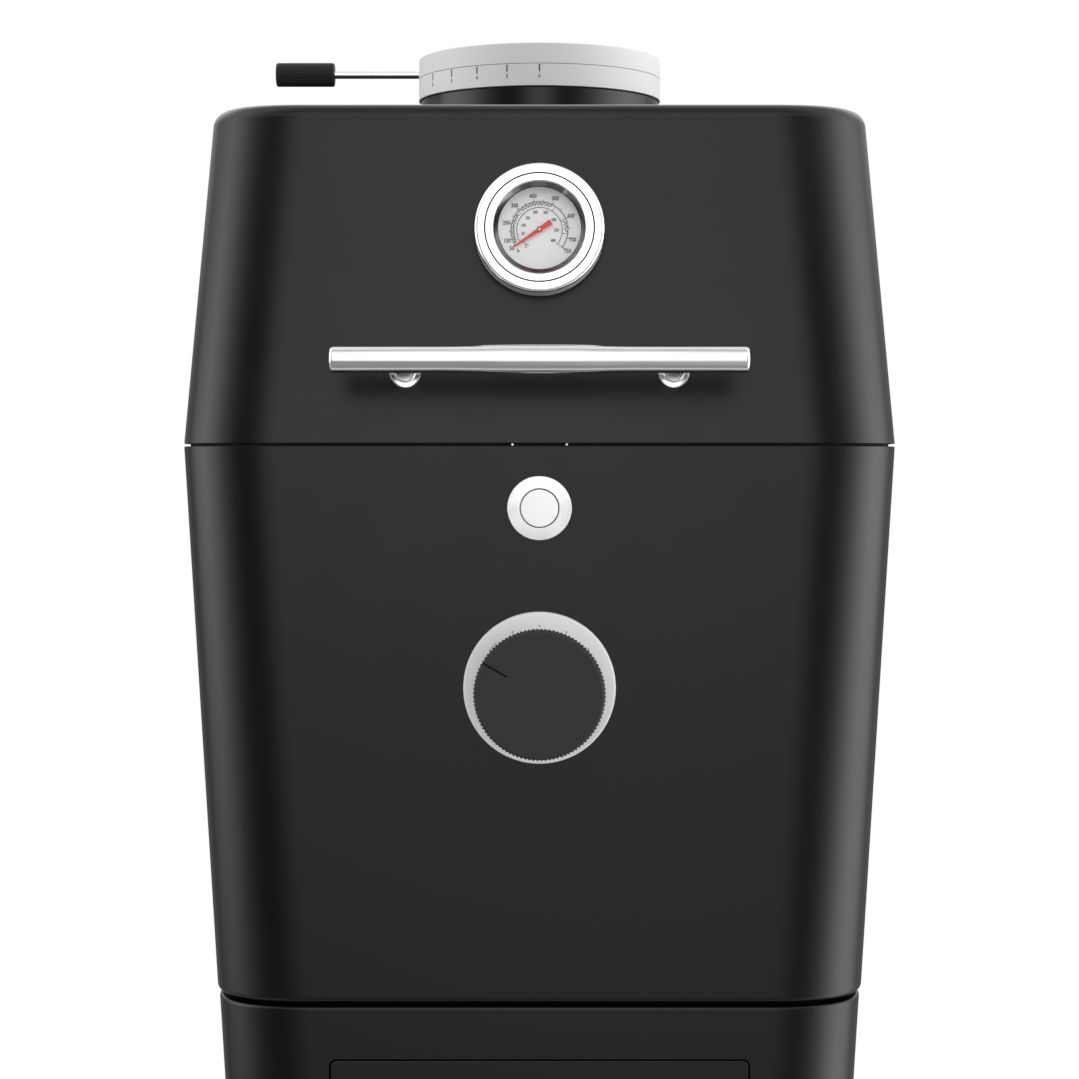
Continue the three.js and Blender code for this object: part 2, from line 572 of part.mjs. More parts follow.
function addGauge() {
  const { radius, depth, window, dial, rest, probe } = gauge;
  add(frames.gauge, "gauge_bezel", turned([
    [6, gap], [radius, gap], [radius, depth - 2.5], [radius - 0.8, depth - 0.7], [43, depth],
    [32.4, depth], [window, 16], [31.1, 16], [31.1, 4], [6, 4],
  ], 28), "polishedSteel");
  add(frames.gauge, "gauge_dial", turned([[1.6, 6], [dial, 6], [dial, 7.2], [1.6, 7.2]]),
    "whitePlastic");
  add(frames.gauge, "gauge_glass", bar(30.8, 13.6, 15.6, 24), "glass");
  add(frames.gauge, "gauge_stem", turned([
    [0, -probe], [3, -probe], [3, -14], [5.5, -14], [5.5, 5.2], [1.2, 5.2], [1.2, 8.6], [0, 8.6],
  ], 12), "brushedSteel");
  const nut = cut(bar(10, -8.4, -hood.wall - gap, 6), bar(5.5 + gap, -10, 0, 12));
  add(frames.gauge, "gauge_nut", nut, "plainSteel");
  const blade = new THREE.Shape([
    new THREE.Vector2(-8, -1.1), new THREE.Vector2(24, -0.4), new THREE.Vector2(24, 0.4),
    new THREE.Vector2(-8, 1.1),
  ]);
  const needle = join(plate(blade, 9, 9.8), bar(3.5, 8.9, 11, 12));
  add(frames.gauge, "gauge_pointer", needle.rotateZ(THREE.MathUtils.degToRad(rest)), "redPaint");
}

// The top vent: a fixed collar, ring and seat, and a cap that turns on them by its lever.
function addVent() {
  const { collar, ring, inner, bore, neck, split, top } = vent;
  add(hoodGroup, "vent_collar", turned([
    [bore, hood.top + gap], [collar, hood.top + gap], [collar, neck - 1], [collar - 1, neck],
    [bore, neck],
  ], 32), "blackPaint");
  add(hoodGroup, "scale_ring", turned([
    [bore + 4, neck + gap], [ring, neck + gap], [ring - 0.6, split], [inner, split],
    [inner, 1164], [bore + 4, 1164],
  ], 32), "greyMetal");
  const windows = (middle, from, to) => [0, 180].map((half) =>
    plate(sector(22, 70, middle + half, 84), from, to));
  add(hoodGroup, "vent_seat", cut(
    turned([[4.3, 1164.4], [inner - 0.5, 1164.4], [inner - 0.5, 1168.4], [4.3, 1168.4]], 24),
    ...windows(0, 1160, 1170),
  ), "greyMetal");
  const capFoot = split + 0.6;
  add(ventGroup, "vent_cap", cut(
    turned([
      [4.3, 1171], [inner, 1171], [inner, capFoot], [ring, capFoot], [ring, top - 1], [ring - 1, top],
      [inner, top], [inner, 1174], [4.3, 1174],
    ], 32),
    ...windows(90, 1165, 1180),
    alongX(bar(lever.rod + gap, -ring - 5, gap - lever.from, 12)).translate(0, 0, lever.z),
  ), "greyMetal");
  add(hoodGroup, "vent_pivot", turned([
    [0, 1158], [8, 1158], [8, 1163.9], [4, 1163.9], [4, 1174.4], [9, 1174.4], [9, 1177],
    [7, 1179], [0, 1179],
  ], 12), "brushedSteel");
  add(ventGroup, "lever_rod", alongX(bar(lever.rod, -lever.to, -lever.from, 12)), "brushedSteel")
    .position.z = lever.z;
  const gripBore = lever.rod + gap;
  add(ventGroup, "lever_grip", alongX(turned([
    [0, -lever.gripTo], [lever.grip - 1.5, -lever.gripTo], [lever.grip, 1.5 - lever.gripTo],
    [lever.grip, -lever.gripFrom - 1], [lever.grip - 1, -lever.gripFrom],
    [gripBore, -lever.gripFrom], [gripBore, -lever.to - gap], [0, -lever.to - gap],
  ], 16)), "blackPlastic").position.z = lever.z;
}

frames.drawer.height = (drawer.high - drawer.low) * Math.hypot(1, taper.body);
addBase();
addDrawer();
addBody();
addFireBowl();
addBowlContents();
addElectrics();
addKnob();
addButton();
addHinge();
addHood();
addHandle();
addGauge();
addVent();

export default cabinet;
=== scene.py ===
# An upright charcoal smoker with a hinged hood, a turning top vent and an ash drawer.
# Settings are in millimetres and degrees. Finished meshes are in metres, in the CAD frame.
import json
import math

import bmesh
import bpy
from mathutils import Matrix, Vector


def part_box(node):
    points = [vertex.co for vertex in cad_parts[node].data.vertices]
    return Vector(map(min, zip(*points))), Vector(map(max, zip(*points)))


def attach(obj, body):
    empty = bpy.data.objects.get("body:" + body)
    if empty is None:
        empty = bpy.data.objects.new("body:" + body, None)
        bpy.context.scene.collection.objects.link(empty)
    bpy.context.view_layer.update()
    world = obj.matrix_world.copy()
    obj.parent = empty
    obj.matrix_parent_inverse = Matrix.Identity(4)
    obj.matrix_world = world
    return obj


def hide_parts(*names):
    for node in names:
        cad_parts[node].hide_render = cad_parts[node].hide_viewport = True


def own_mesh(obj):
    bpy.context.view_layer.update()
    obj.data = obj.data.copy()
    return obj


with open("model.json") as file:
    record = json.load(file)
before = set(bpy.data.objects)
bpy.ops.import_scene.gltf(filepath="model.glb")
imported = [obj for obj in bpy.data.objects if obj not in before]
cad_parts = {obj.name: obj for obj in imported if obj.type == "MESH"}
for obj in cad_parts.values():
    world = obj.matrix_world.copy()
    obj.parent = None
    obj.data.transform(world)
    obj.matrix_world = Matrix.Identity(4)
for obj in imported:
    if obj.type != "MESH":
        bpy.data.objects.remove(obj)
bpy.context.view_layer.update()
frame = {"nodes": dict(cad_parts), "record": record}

scene = bpy.context.scene
fullTurn = 2 * math.pi

cabinet = {
    "seam": 880,  # height where the hood meets the body
    "half": 257,  # half the width there
    "hoodLean": 0.085,  # how far a wall leans in per millimetre of height
    "bodyLean": 0.0523,
    "reach": 72,  # length of a corner's curve along each side
    "squareness": 0.5613,  # bevel profile of the corners: a little squarer than a circle
    "cornerSteps": 14,
    "gap": 0.3,  # left between pieces that touch
}
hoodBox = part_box("hood_shell")
axisShift = 500 * (hoodBox[0].y + hoodBox[1].y)  # the cabinet's upright axis, along Y
toMetres = Matrix.Scale(0.001, 4) @ Matrix.Translation((0, axisShift, 0))


# Node helpers

def addNode(tree, kind, inputs=None, **settings):
    made = tree.nodes.new("ShaderNode" + kind)
    for key, value in settings.items():
        setattr(made, key, value)
    for key, value in (inputs or {}).items():
        if isinstance(value, bpy.types.NodeSocket):
            tree.links.new(value, made.inputs[key])
        else:
            made.inputs[key].default_value = value
    return made


def addMath(tree, operation, first, second=0.0, third=0.0):
    return addNode(tree, "Math", {0: first, 1: second, 2: third}, operation=operation).outputs[0]


def addMix(tree, factor, first, second):
    mix = addNode(tree, "Mix", {"Factor": factor}, data_type="RGBA")
    for socket, colour in zip((mix.inputs[6], mix.inputs[7]), (first, second)):
        if isinstance(colour, bpy.types.NodeSocket):
            tree.links.new(colour, socket)
        else:
            socket.default_value = (*colour, 1)
    return mix.outputs[2]


def addRamp(tree, factor, stops):
    ramp = addNode(tree, "ValToRGB", {0: factor})
    elements = ramp.color_ramp.elements
    elements.remove(elements[1])
    elements[0].position = stops[0][0]
    elements[0].color = (*[stops[0][1]] * 3, 1)
    for position, level in stops[1:]:
        elements.new(position).color = (*[level] * 3, 1)
    return ramp.outputs[0]


# Camera and light

camera = {"place": (0, -2.08275, 0.8643), "lens": 88.4, "sensor": 36, "pitch": -1.567}


def makeCamera():
    data = bpy.data.cameras.new("camera")
    data.lens = camera["lens"]
    data.sensor_width = camera["sensor"]
    made = bpy.data.objects.new("camera", data)
    made.location = camera["place"]
    made.rotation_euler = (math.radians(90 + camera["pitch"]), 0, 0)
    scene.collection.objects.link(made)
    scene.camera = made
    print("camera made")


# Each light is a soft patch of the sky, in degrees. Across is 0 in front, 90 to the right and 180
# behind. Up is 0 at the horizon and 90 overhead.
studio = {
    "front": {
        "level": 2.55,
        "across": [(-22, 0), (-14, 0.1), (-7, 0.8), (0, 1), (7, 0.8), (14, 0.1), (22, 0)],
        "up": [(-26, 0), (-20, 0.25), (-12, 0.45), (0, 1), (12, 0.98), (30, 0.64), (50, 0.38),
               (75, 0.08)],
    },
    "left": {
        "level": 6.4,
        "across": [(-150, 0), (-130, 0.01), (-112, 0.38), (-90, 1), (-72, 0.86), (-56, 0.36),
                   (-40, 0.05), (-24, 0.01), (-10, 0.16), (4, 0)],
        "up": [(-50, 0.04), (-36, 0.1), (-24, 0.03), (-12, 0.38), (0, 1), (12, 0.65), (30, 0.33),
               (55, 0.26), (90, 0.27)],
    },
    "right": {
        "level": 7.4,
        "across": [(-4, 0), (10, 0.1), (24, 0.02), (40, 0.11), (56, 0.43), (72, 0.91), (90, 1),
                   (112, 0.48), (130, 0.05), (150, 0)],
        "up": [(-60, 0.05), (-36, 0.5), (-24, 0.6), (-12, 0.7), (0, 1), (12, 0.7), (30, 0.34),
               (55, 0.2), (90, 0.15)],
    },
    "back": {
        "level": 1.3,
        "across": [(-180, 1), (-150, 1), (-110, 0), (110, 0), (150, 1), (180, 1)],
        "up": [(-30, 0.1), (0, 0.12), (6, 0.25), (14, 1), (28, 1), (42, 0.5), (90, 0.5)],
    },
    "sky": {"level": 1.4, "up": [(-10, 0.1), (15, 0.03), (35, 1), (60, 0.6), (90, 0.4)]},
    "ground": {"level": 0.25, "up": [(-90, 1), (-30, 1), (-22, 0)]},
}


def makeStudio():
    world = bpy.data.worlds.new("studio")
    scene.world = world
    world.use_nodes = True
    tree = world.node_tree
    tree.nodes.clear()
    direction = addNode(tree, "TexCoord").outputs["Generated"]
    x, y, z = addNode(tree, "SeparateXYZ", {0: direction}).outputs
    around = addMath(tree, "ARCTAN2", x, addMath(tree, "MULTIPLY", y, -1.0))
    height = addMath(tree, "ARCSINE", z)
    scales = {  # each angle as a place on a ramp from 0 to 1
        "across": (addMath(tree, "MULTIPLY_ADD", around, 1 / fullTurn, 0.5), 360),
        "up": (addMath(tree, "MULTIPLY_ADD", height, 1 / math.pi, 0.5), 180),
    }
    total = 0.0
    for light in studio.values():
        level = light["level"]
        for along, (value, span) in scales.items():
            if along in light:
                stops = [(0.5 + degrees / span, share) for degrees, share in light[along]]
                level = addMath(tree, "MULTIPLY", level, addRamp(tree, value, stops))
        total = addMath(tree, "ADD", total, level)
    soft = addNode(tree, "Background", {"Strength": total})
    plain = addNode(tree, "Background", {"Color": (1, 1, 1, 1)})
    seen = addNode(tree, "LightPath").outputs["Is Camera Ray"]
    mixed = addNode(tree, "MixShader", {0: seen, 1: soft.outputs[0], 2: plain.outputs[0]})
    addNode(tree, "OutputWorld", {"Surface": mixed.outputs[0]})
    scene.view_settings.view_transform = "Standard"
    print("studio light made")


# Finishes. Patterns read Object coordinates, in metres: grain is (noise scale, bump depth in mm).

finishes = {
    "paint": {"colour": (0.0025, 0.0025, 0.0026), "rough": 0.25, "mottle": 0.12, "grain": (1500, 0.005),
              "spread": 0.015, "gloss": 0.27},
    "greyCast": {"colour": (0.56, 0.56, 0.556), "rough": 0.6, "mottle": 0.03, "grain": (2200, 0.012)},
    "polished": {"colour": (0.80, 0.80, 0.81), "rough": 0.16, "metal": 1.0, "mottle": 0.03,
                 "grain": (600, 0.003)},
    # a darker copy of polished steel: painted shade for the recessed inner cone of the thermometer
    "shadedChrome": {"colour": (0.14, 0.14, 0.143), "rough": 0.12, "metal": 1.0, "mottle": 0.05,
                   "grain": (600, 0.003)},
    "brushed": {"colour": (0.72, 0.72, 0.73), "rough": 0.15, "metal": 1.0, "mottle": 0.04,
                "grain": (1200, 0.004), "stretch": (0.08, 1, 1)},
    "plainSteel": {"colour": (0.34, 0.34, 0.35), "rough": 0.42, "metal": 0.9, "mottle": 0.2,
                   "grain": (260, 0.010), "spread": 0.12, "spangle": 90},
    "castIron": {"colour": (0.016, 0.016, 0.016), "rough": 0.62, "metal": 0.3, "mottle": 0.35,
                 "grain": (700, 0.10), "spread": 0.14},
    "enamel": {"colour": (0.009, 0.009, 0.0095), "rough": 0.24, "mottle": 0.15, "grain": (160, 0.05)},
    "ceramic": {"colour": (0.50, 0.42, 0.32), "rough": 0.86, "mottle": 0.25, "grain": (900, 0.12)},
    "plastic": {"colour": (0.006, 0.006, 0.006), "rough": 0.5, "gloss": 0.35, "mottle": 0.15,
                "grain": (2400, 0.016)},
    "knobPlastic": {"colour": (0.014, 0.014, 0.014), "rough": 0.5, "gloss": 0.35, "mottle": 0.08,
                    "grain": (2600, 0.014)},
    "white": {"colour": (0.90, 0.90, 0.895), "rough": 0.32, "mottle": 0.02, "grain": (1800, 0.003)},
    "dialWhite": {"colour": (0.96, 0.96, 0.96), "rough": 0.6, "mottle": 0.02, "grain": (2600, 0.006)},
    "red": {"colour": (0.70, 0.040, 0.045), "rough": 0.4, "mottle": 0.08, "grain": (2000, 0.004)},
    # black print; the same black is also painted shade, in the bezel's groove, at the foot of its cone
    # and in the knob's engraved line
    "inkAndShade": {"colour": (0.003, 0.003, 0.003), "rough": 0.8, "gloss": 0.1, "mottle": 0.2,
            "grain": (4000, 0.002)},
    "greyInk": {"colour": (0.14, 0.14, 0.14), "rough": 0.8, "gloss": 0.2, "mottle": 0.15,
                "grain": (4000, 0.002)},
    "rubber": {"colour": (0.012, 0.012, 0.012), "rough": 0.66, "mottle": 0.2, "grain": (1400, 0.02)},
    "felt": {"colour": (0.012, 0.012, 0.012), "rough": 0.95, "mottle": 0.4, "grain": (900, 0.35),
             "weave": 420},
    "glass": {"colour": (1, 1, 1), "rough": 0.02, "mottle": 0.0, "grain": (200, 0.0005), "clear": 1.0,
              "index": 1.15, "spread": 0.005},
    "floor": {"colour": (0.62, 0.62, 0.62), "rough": 0.8, "mottle": 0.02, "grain": (300, 0.05)},
}
slotFinish = {  # what each material slot takes, unless a piece says otherwise
    "black_painted_steel": "paint", "grey_metal": "greyCast", "brushed_steel": "brushed",
    "polished_steel": "polished", "plain_steel": "plainSteel", "cast_iron": "castIron",
    "black_enamel": "enamel", "ceramic_plate": "ceramic", "black_plastic": "plastic",
    "knob_black": "knobPlastic", "white_plastic": "white", "pointer_red": "red",
    "clear_glass": "glass", "black_felt": "felt", "black_cable": "rubber",
}
plainSpread = 0.05  # how far the roughness strays where a finish doesn't say


def makeFinish(name, kind, centre=None, **changes):
    settings = {**finishes[kind], **changes}
    made = bpy.data.materials.new(name)
    made.use_nodes = True
    tree = made.node_tree
    shader = tree.nodes["Principled BSDF"]
    shader.inputs["Metallic"].default_value = settings.get("metal", 0.0)
    shader.inputs["Transmission Weight"].default_value = settings.get("clear", 0.0)
    shader.inputs["IOR"].default_value = settings.get("index", 1.5)
    shader.inputs["Specular IOR Level"].default_value = settings.get("gloss", 0.5)
    spot = addNode(tree, "TexCoord").outputs["Object"]
    if "stretch" in settings and not centre:
        spot = addNode(tree, "Mapping", {"Vector": spot, "Scale": settings["stretch"]}).outputs[0]
    scale, depth = settings["grain"]
    if centre:  # turned work: the grain is rings about the piece's own axis
        local = toMetres @ centre
        spot = addNode(tree, "Mapping", {
            "Vector": spot, "Location": local.to_translation(), "Rotation": local.to_euler(),
        }, vector_type="TEXTURE").outputs[0]
        flat = addNode(tree, "VectorMath", {0: spot, 1: (1, 1, 0)}, operation="MULTIPLY").outputs[0]
        radius = addNode(tree, "VectorMath", {0: flat}, operation="LENGTH").outputs["Value"]
        grain = addNode(tree, "TexNoise", {"W": radius, "Scale": scale, "Detail": 2.0},
                        noise_dimensions="1D").outputs["Fac"]
    else:
        grain = addNode(tree, "TexNoise", {"Vector": spot, "Scale": scale, "Detail": 3.0}).outputs[0]
    if "weave" in settings:
        for direction in ("X", "Y"):
            thread = addNode(tree, "TexWave", {"Vector": spot, "Scale": settings["weave"] / 6},
                             bands_direction=direction)
            grain = addMath(tree, "ADD", grain, thread.outputs["Fac"])
    cloud = addNode(tree, "TexNoise", {"Vector": spot, "Scale": scale / 60, "Detail": 4.0})
    patch = cloud.outputs["Fac"]
    if "spangle" in settings:
        flakes = addNode(tree, "TexVoronoi", {"Vector": spot, "Scale": settings["spangle"]})
        patch = addNode(tree, "RGBToBW", {0: flakes.outputs["Color"]}).outputs[0]
    colour, swing = Vector(settings["colour"]), settings["mottle"]
    tint = addMix(tree, patch, colour * (1 - swing), colour * min(1 + swing, 1 / max(colour)))
    tree.links.new(tint, shader.inputs["Base Color"])
    rough, spread = settings["rough"], settings.get("spread", plainSpread)
    varied = addNode(tree, "MapRange", {
        "Value": cloud.outputs["Fac"], "From Min": 0.3, "From Max": 0.7,
        "To Min": max(rough - spread, 0), "To Max": min(rough + spread, 1),
    })
    tree.links.new(varied.outputs["Result"], shader.inputs["Roughness"])
    bump = addNode(tree, "Bump", {"Height": grain, "Distance": depth / 1000})
    tree.links.new(bump.outputs["Normal"], shader.inputs["Normal"])
    return made


made = {kind: makeFinish(kind, kind) for kind in finishes}
print("finishes made:", len(made))


# Mesh helpers. Pieces are drawn about the cabinet's axis, in millimetres.

def halfAt(z):
    lean = cabinet["hoodLean"] if z > cabinet["seam"] else cabinet["bodyLean"]
    return cabinet["half"] - lean * abs(z - cabinet["seam"])


def panel(z, x=0, inset=0, rear=False):  # a place on a front or rear wall, with +Z out of it
    tilt = math.atan(cabinet["hoodLean"] if z > cabinet["seam"] else -cabinet["bodyLean"])
    out = halfAt(z) - inset
    angle = tilt - math.pi / 2 if rear else math.pi / 2 - tilt
    return Matrix.Translation((x, out if rear else -out, z)) @ Matrix.Rotation(angle, 4, "X")


def skin(z, inset=0):  # one level of the outer wall
    return (z, halfAt(z) - inset, cabinet["reach"] - inset)


def edgesOf(verts):
    chosen = set(verts)
    return [e for e in {e for v in verts for e in v.link_edges} if chosen.issuperset(e.verts)]


def bevel(bm, geom, offset, segments, affect="EDGES", profile=0.5, clamp=False):
    bmesh.ops.bevel(bm, geom=geom, offset=offset, offset_type="OFFSET", segments=segments,
                    profile=profile, affect=affect, clamp_overlap=clamp, material=-1)


def openUp(bm, *faces):  # takes faces away and leaves their edges
    bmesh.ops.delete(bm, geom=faces, context="FACES_ONLY")


def faceOut(bm):
    bmesh.ops.recalc_face_normals(bm, faces=bm.faces[:])


def roundedFace(bm, halfX, halfY, reach, place=None, steps=8, profile=0.5):
    shape = (place or Matrix()) @ Matrix.Diagonal((halfX, halfY, 1, 1))
    corners = bmesh.ops.create_grid(bm, x_segments=1, y_segments=1, size=1, matrix=shape)["verts"]
    others = set(bm.faces) - set(corners[0].link_faces)
    bevel(bm, corners, reach, steps, "VERTICES", profile)
    return (set(bm.faces) - others).pop()


def squareFace(bm, z, half, reach):
    return roundedFace(bm, half, half, reach, Matrix.Translation((0, 0, z)), cabinet["cornerSteps"],
                       cabinet["squareness"])


def pull(bm, faces, offset, **options):
    grown = bmesh.ops.extrude_face_region(bm, geom=faces, **options)["geom"]
    moved = [part for part in grown if isinstance(part, bmesh.types.BMVert)]
    bmesh.ops.translate(bm, verts=moved, vec=offset)
    return next(part for part in grown if isinstance(part, bmesh.types.BMFace))


def loft(bm, *levels):  # a rounded square, raised from level to level; a middle level keeps its face
    z, half, reach = levels[0]
    first = face = squareFace(bm, z, half, reach)
    for nextZ, nextHalf, nextReach in levels[1:]:
        face = pull(bm, [face], (0, 0, nextZ - z))
        spread = (nextHalf - nextReach) - (half - reach)
        ratio = nextReach / reach
        for sideX in (-1, 1):
            for sideY in (-1, 1):
                corner = [v for v in face.verts if v.co.x * sideX > 0 and v.co.y * sideY > 0]
                bmesh.ops.translate(bm, verts=corner, vec=(sideX * spread, sideY * spread, 0))
                middle = nextHalf - nextReach
                about = Matrix.Translation((-sideX * middle, -sideY * middle, 0))
                bmesh.ops.scale(bm, verts=corner, vec=(ratio, ratio, 1), space=about)
        z, half, reach = nextZ, nextHalf, nextReach
    faceOut(bm)
    return first, face


def largest(bm, direction):  # the biggest flat face that looks that way
    facing = [f for f in bm.faces if f.normal.dot(Vector(direction)) > 0.9]
    return max(facing, key=lambda f: f.calc_area())


def roundHole(radius, place, steps=32):
    def draw(bm):
        made = bmesh.ops.create_circle(bm, cap_ends=False, radius=radius, segments=steps,
                                       matrix=place or Matrix())
        return edgesOf(made["verts"])
    return draw


def squareHole(halfX, halfY, reach, place, steps=5, profile=0.5):
    def draw(bm):
        face = roundedFace(bm, halfX, halfY, reach, place, steps, profile)
        edges = face.edges[:]
        openUp(bm, face)
        return edges
    return draw


def sectorHole(inner, outer, middle, sweep, steps=20):
    def draw(bm):
        before = set(bm.edges)
        start = Matrix.Rotation(math.radians(middle - sweep / 2), 4, "Z")
        arcs = []
        for radius in (inner, outer):
            first = bm.verts.new(start @ Vector((radius, 0, 0)))
            spun = bmesh.ops.spin(bm, geom=[first], cent=(0, 0, 0), axis=(0, 0, 1),
                                  angle=math.radians(sweep), steps=steps)
            last = next(p for p in spun["geom_last"] if isinstance(p, bmesh.types.BMVert))
            arcs.append((first, last))
        for pair in zip(*arcs):
            bm.edges.new(pair)
        return [e for e in bm.edges if e not in before]
    return draw


def punch(bm, face, *holes):  # replaces a flat face with one that has holes in it
    edges = face.edges[:]
    openUp(bm, face)
    for hole in holes:
        edges += hole(bm)
    bmesh.ops.triangle_fill(bm, use_beauty=True, use_dissolve=False, edges=edges)


def bridgeTo(bm, face, draw):  # replaces a flat face with a band of quads to another outline
    edges = face.edges[:]
    openUp(bm, face)
    bmesh.ops.bridge_loops(bm, edges=edges + draw(bm))


def shell(bm, wall):  # gives an open skin its thickness, inwards
    faceOut(bm)
    bmesh.ops.solidify(bm, geom=bm.faces[:], thickness=wall)


def thicken(bm, depth):  # a flat sheet drawn at Z = 0 becomes a plate of that depth, upwards
    pull(bm, bm.faces[:], (0, 0, depth), use_keep_orig=True)
    faceOut(bm)


def soften(bm, width, segments=2, least=30):  # eases the edges that turn by more than that
    edges = [e for e in bm.edges
             if len(e.link_faces) == 2 and math.degrees(e.calc_face_angle()) > least]
    bevel(bm, edges, width, segments, clamp=True)


def turn(bm, profile, steps=96, ring=False):  # a profile of (radius, height), spun about Z
    before = set(bm.verts)
    verts = [bm.verts.new((radius, 0, height)) for radius, height in profile]
    pairs = list(zip(verts, verts[1:])) + ([(verts[-1], verts[0])] if ring else [])
    edges = [bm.edges.new(pair) for pair in pairs]
    bmesh.ops.spin(bm, geom=verts + edges, cent=(0, 0, 0), axis=(0, 0, 1), angle=fullTurn,
                   steps=steps, use_merge=True, use_duplicate=False)
    fresh = [v for v in bm.verts if v not in before]
    bmesh.ops.remove_doubles(bm, verts=fresh, dist=0.001)
    faceOut(bm)


def addBlock(bm, low, high):  # a plain bar or lug as one part of a larger piece
    size = Vector(high) - Vector(low)
    middle = (Vector(high) + Vector(low)) / 2
    place = Matrix.Translation(middle) @ Matrix.Diagonal((*size, 1))
    return bmesh.ops.create_cube(bm, size=1, matrix=place)["verts"]


def finishPiece(bm, name, body, slot, replaces=(), place=None, sharp=38, finish=None):
    bmesh.ops.transform(bm, matrix=toMetres @ (place or Matrix()), verts=bm.verts[:])
    mesh = bpy.data.meshes.new(name)
    bm.to_mesh(mesh)
    bm.free()
    mesh.shade_smooth()
    mesh.set_sharp_from_angle(angle=math.radians(sharp))
    mesh.materials.append(finish or made[slotFinish[slot]])
    piece = bpy.data.objects.new(name, mesh)
    scene.collection.objects.link(piece)
    piece.modifiers.new("weighted", "WEIGHTED_NORMAL").keep_sharp = True
    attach(piece, body)
    if replaces:
        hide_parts(*replaces)
    return piece


def bothEnds(side):  # a turned profile that is the same from both ends
    return side + [(radius, -along) for radius, along in reversed(side)]


def turnPiece(profile, steps, *where, ring=False, **more):  # a piece that is one turned shape
    bm = bmesh.new()
    turn(bm, profile, steps, ring)
    finishPiece(bm, *where, **more)


def addCurve(bm, curve, place=None):
    holder = bpy.data.objects.new(curve.name, curve)
    scene.collection.objects.link(holder)
    bpy.context.view_layer.update()
    mesh = bpy.data.meshes.new_from_object(holder.evaluated_get(bpy.context.evaluated_depsgraph_get()))
    mesh.transform(place or Matrix())
    bm.from_mesh(mesh)
    bpy.data.objects.remove(holder)
    bpy.data.curves.remove(curve)
    bpy.data.meshes.remove(mesh)


def addText(bm, words, size, place, depth=0.05, bold=0.0, narrow=1.0):
    curve = bpy.data.curves.new("words", "FONT")
    curve.body, curve.size = words, size
    curve.align_x, curve.align_y = "CENTER", "CENTER"
    curve.extrude, curve.offset, curve.resolution_u = depth, bold, 2
    addCurve(bm, curve, place @ Matrix.Diagonal((narrow, 1, 1, 1)))


def addTube(bm, points, radius, steps):
    curve = bpy.data.curves.new("tube", "CURVE")
    curve.dimensions = "3D"
    curve.bevel_depth, curve.bevel_resolution, curve.resolution_u = radius, 4, steps
    curve.use_fill_caps = True
    spline = curve.splines.new("BEZIER")
    spline.bezier_points.add(len(points) - 1)
    for knot, point in zip(spline.bezier_points, points):
        knot.co = point
        knot.handle_left_type = knot.handle_right_type = "AUTO"
    addCurve(bm, curve)
    bmesh.ops.remove_doubles(bm, verts=bm.verts[:], dist=radius / 200)
    faceOut(bm)


def join(bm, other, place):
    mesh = bpy.data.meshes.new("other")
    other.to_mesh(mesh)
    other.free()
    mesh.transform(place)
    bm.from_mesh(mesh)
    bpy.data.meshes.remove(mesh)


def flute(bm, steps, every, radius, least, depth):  # draws in some of the lines of a turned rim
    chosen = []
    for v in bm.verts:
        step = round(math.atan2(v.co.y, v.co.x) / fullTurn * steps) % every
        if step == 0 and v.co.xy.length > least:
            chosen.append(v)
    shrink = 1 - depth / radius
    bmesh.ops.scale(bm, verts=chosen, vec=(shrink, shrink, 1))


def refineNode(node, name, body, slot, width):  # a CAD shape with its edges eased
    bm = bmesh.new()
    bm.from_mesh(frame["nodes"][node].data)
    bmesh.ops.remove_doubles(bm, verts=bm.verts[:], dist=0.000002)
    bmesh.ops.transform(bm, matrix=toMetres.inverted(), verts=bm.verts[:])
    bmesh.ops.dissolve_limit(bm, angle_limit=math.radians(1), verts=bm.verts[:], edges=bm.edges[:])
    soften(bm, width)
    finishPiece(bm, name, body, slot, [node])


def frameRing(bm, outer, inner, depth):  # a flat ring of rounded-square plan: (half, reach) twice
    face = squareFace(bm, 0, *outer)
    bridgeTo(bm, face, squareHole(inner[0], inner[0], inner[1], None, cabinet["cornerSteps"],
                                  cabinet["squareness"]))
    thicken(bm, depth)


def lift(z):
    return Matrix.Translation((0, 0, z))


sideways = Matrix.Rotation(math.pi / 2, 4, "Y")  # turns +Z to the right
upright = Matrix.Rotation(math.pi / 2, 4, "X")  # turns +Z to the front
knobHeight = 709.1
places = {
    "gauge": panel(1029.6),
    "handle": panel(930.3),
    "button": panel(835.6),
    "knob": panel(knobHeight),
    "drawer": panel(370.55, inset=1),
    "inlet": panel(530, x=-120, rear=True),
    "grille": panel(600, rear=True),
    "lever": lift(1175.3) @ Matrix.Rotation(-math.pi / 2, 4, "Y"),
}


# The hood with its liner

hood = {"bottom": 881, "top": 1121, "wall": 3, "round": 10, "chimney": 78, "lip": 0.6, "gaugeHole": 6.5,
        "studHole": 3.5}
liner = {"bottom": 885.5, "brim": (253.2, 68), "roof": 1097, "inset": 23, "wall": 1.5, "bore": 72}


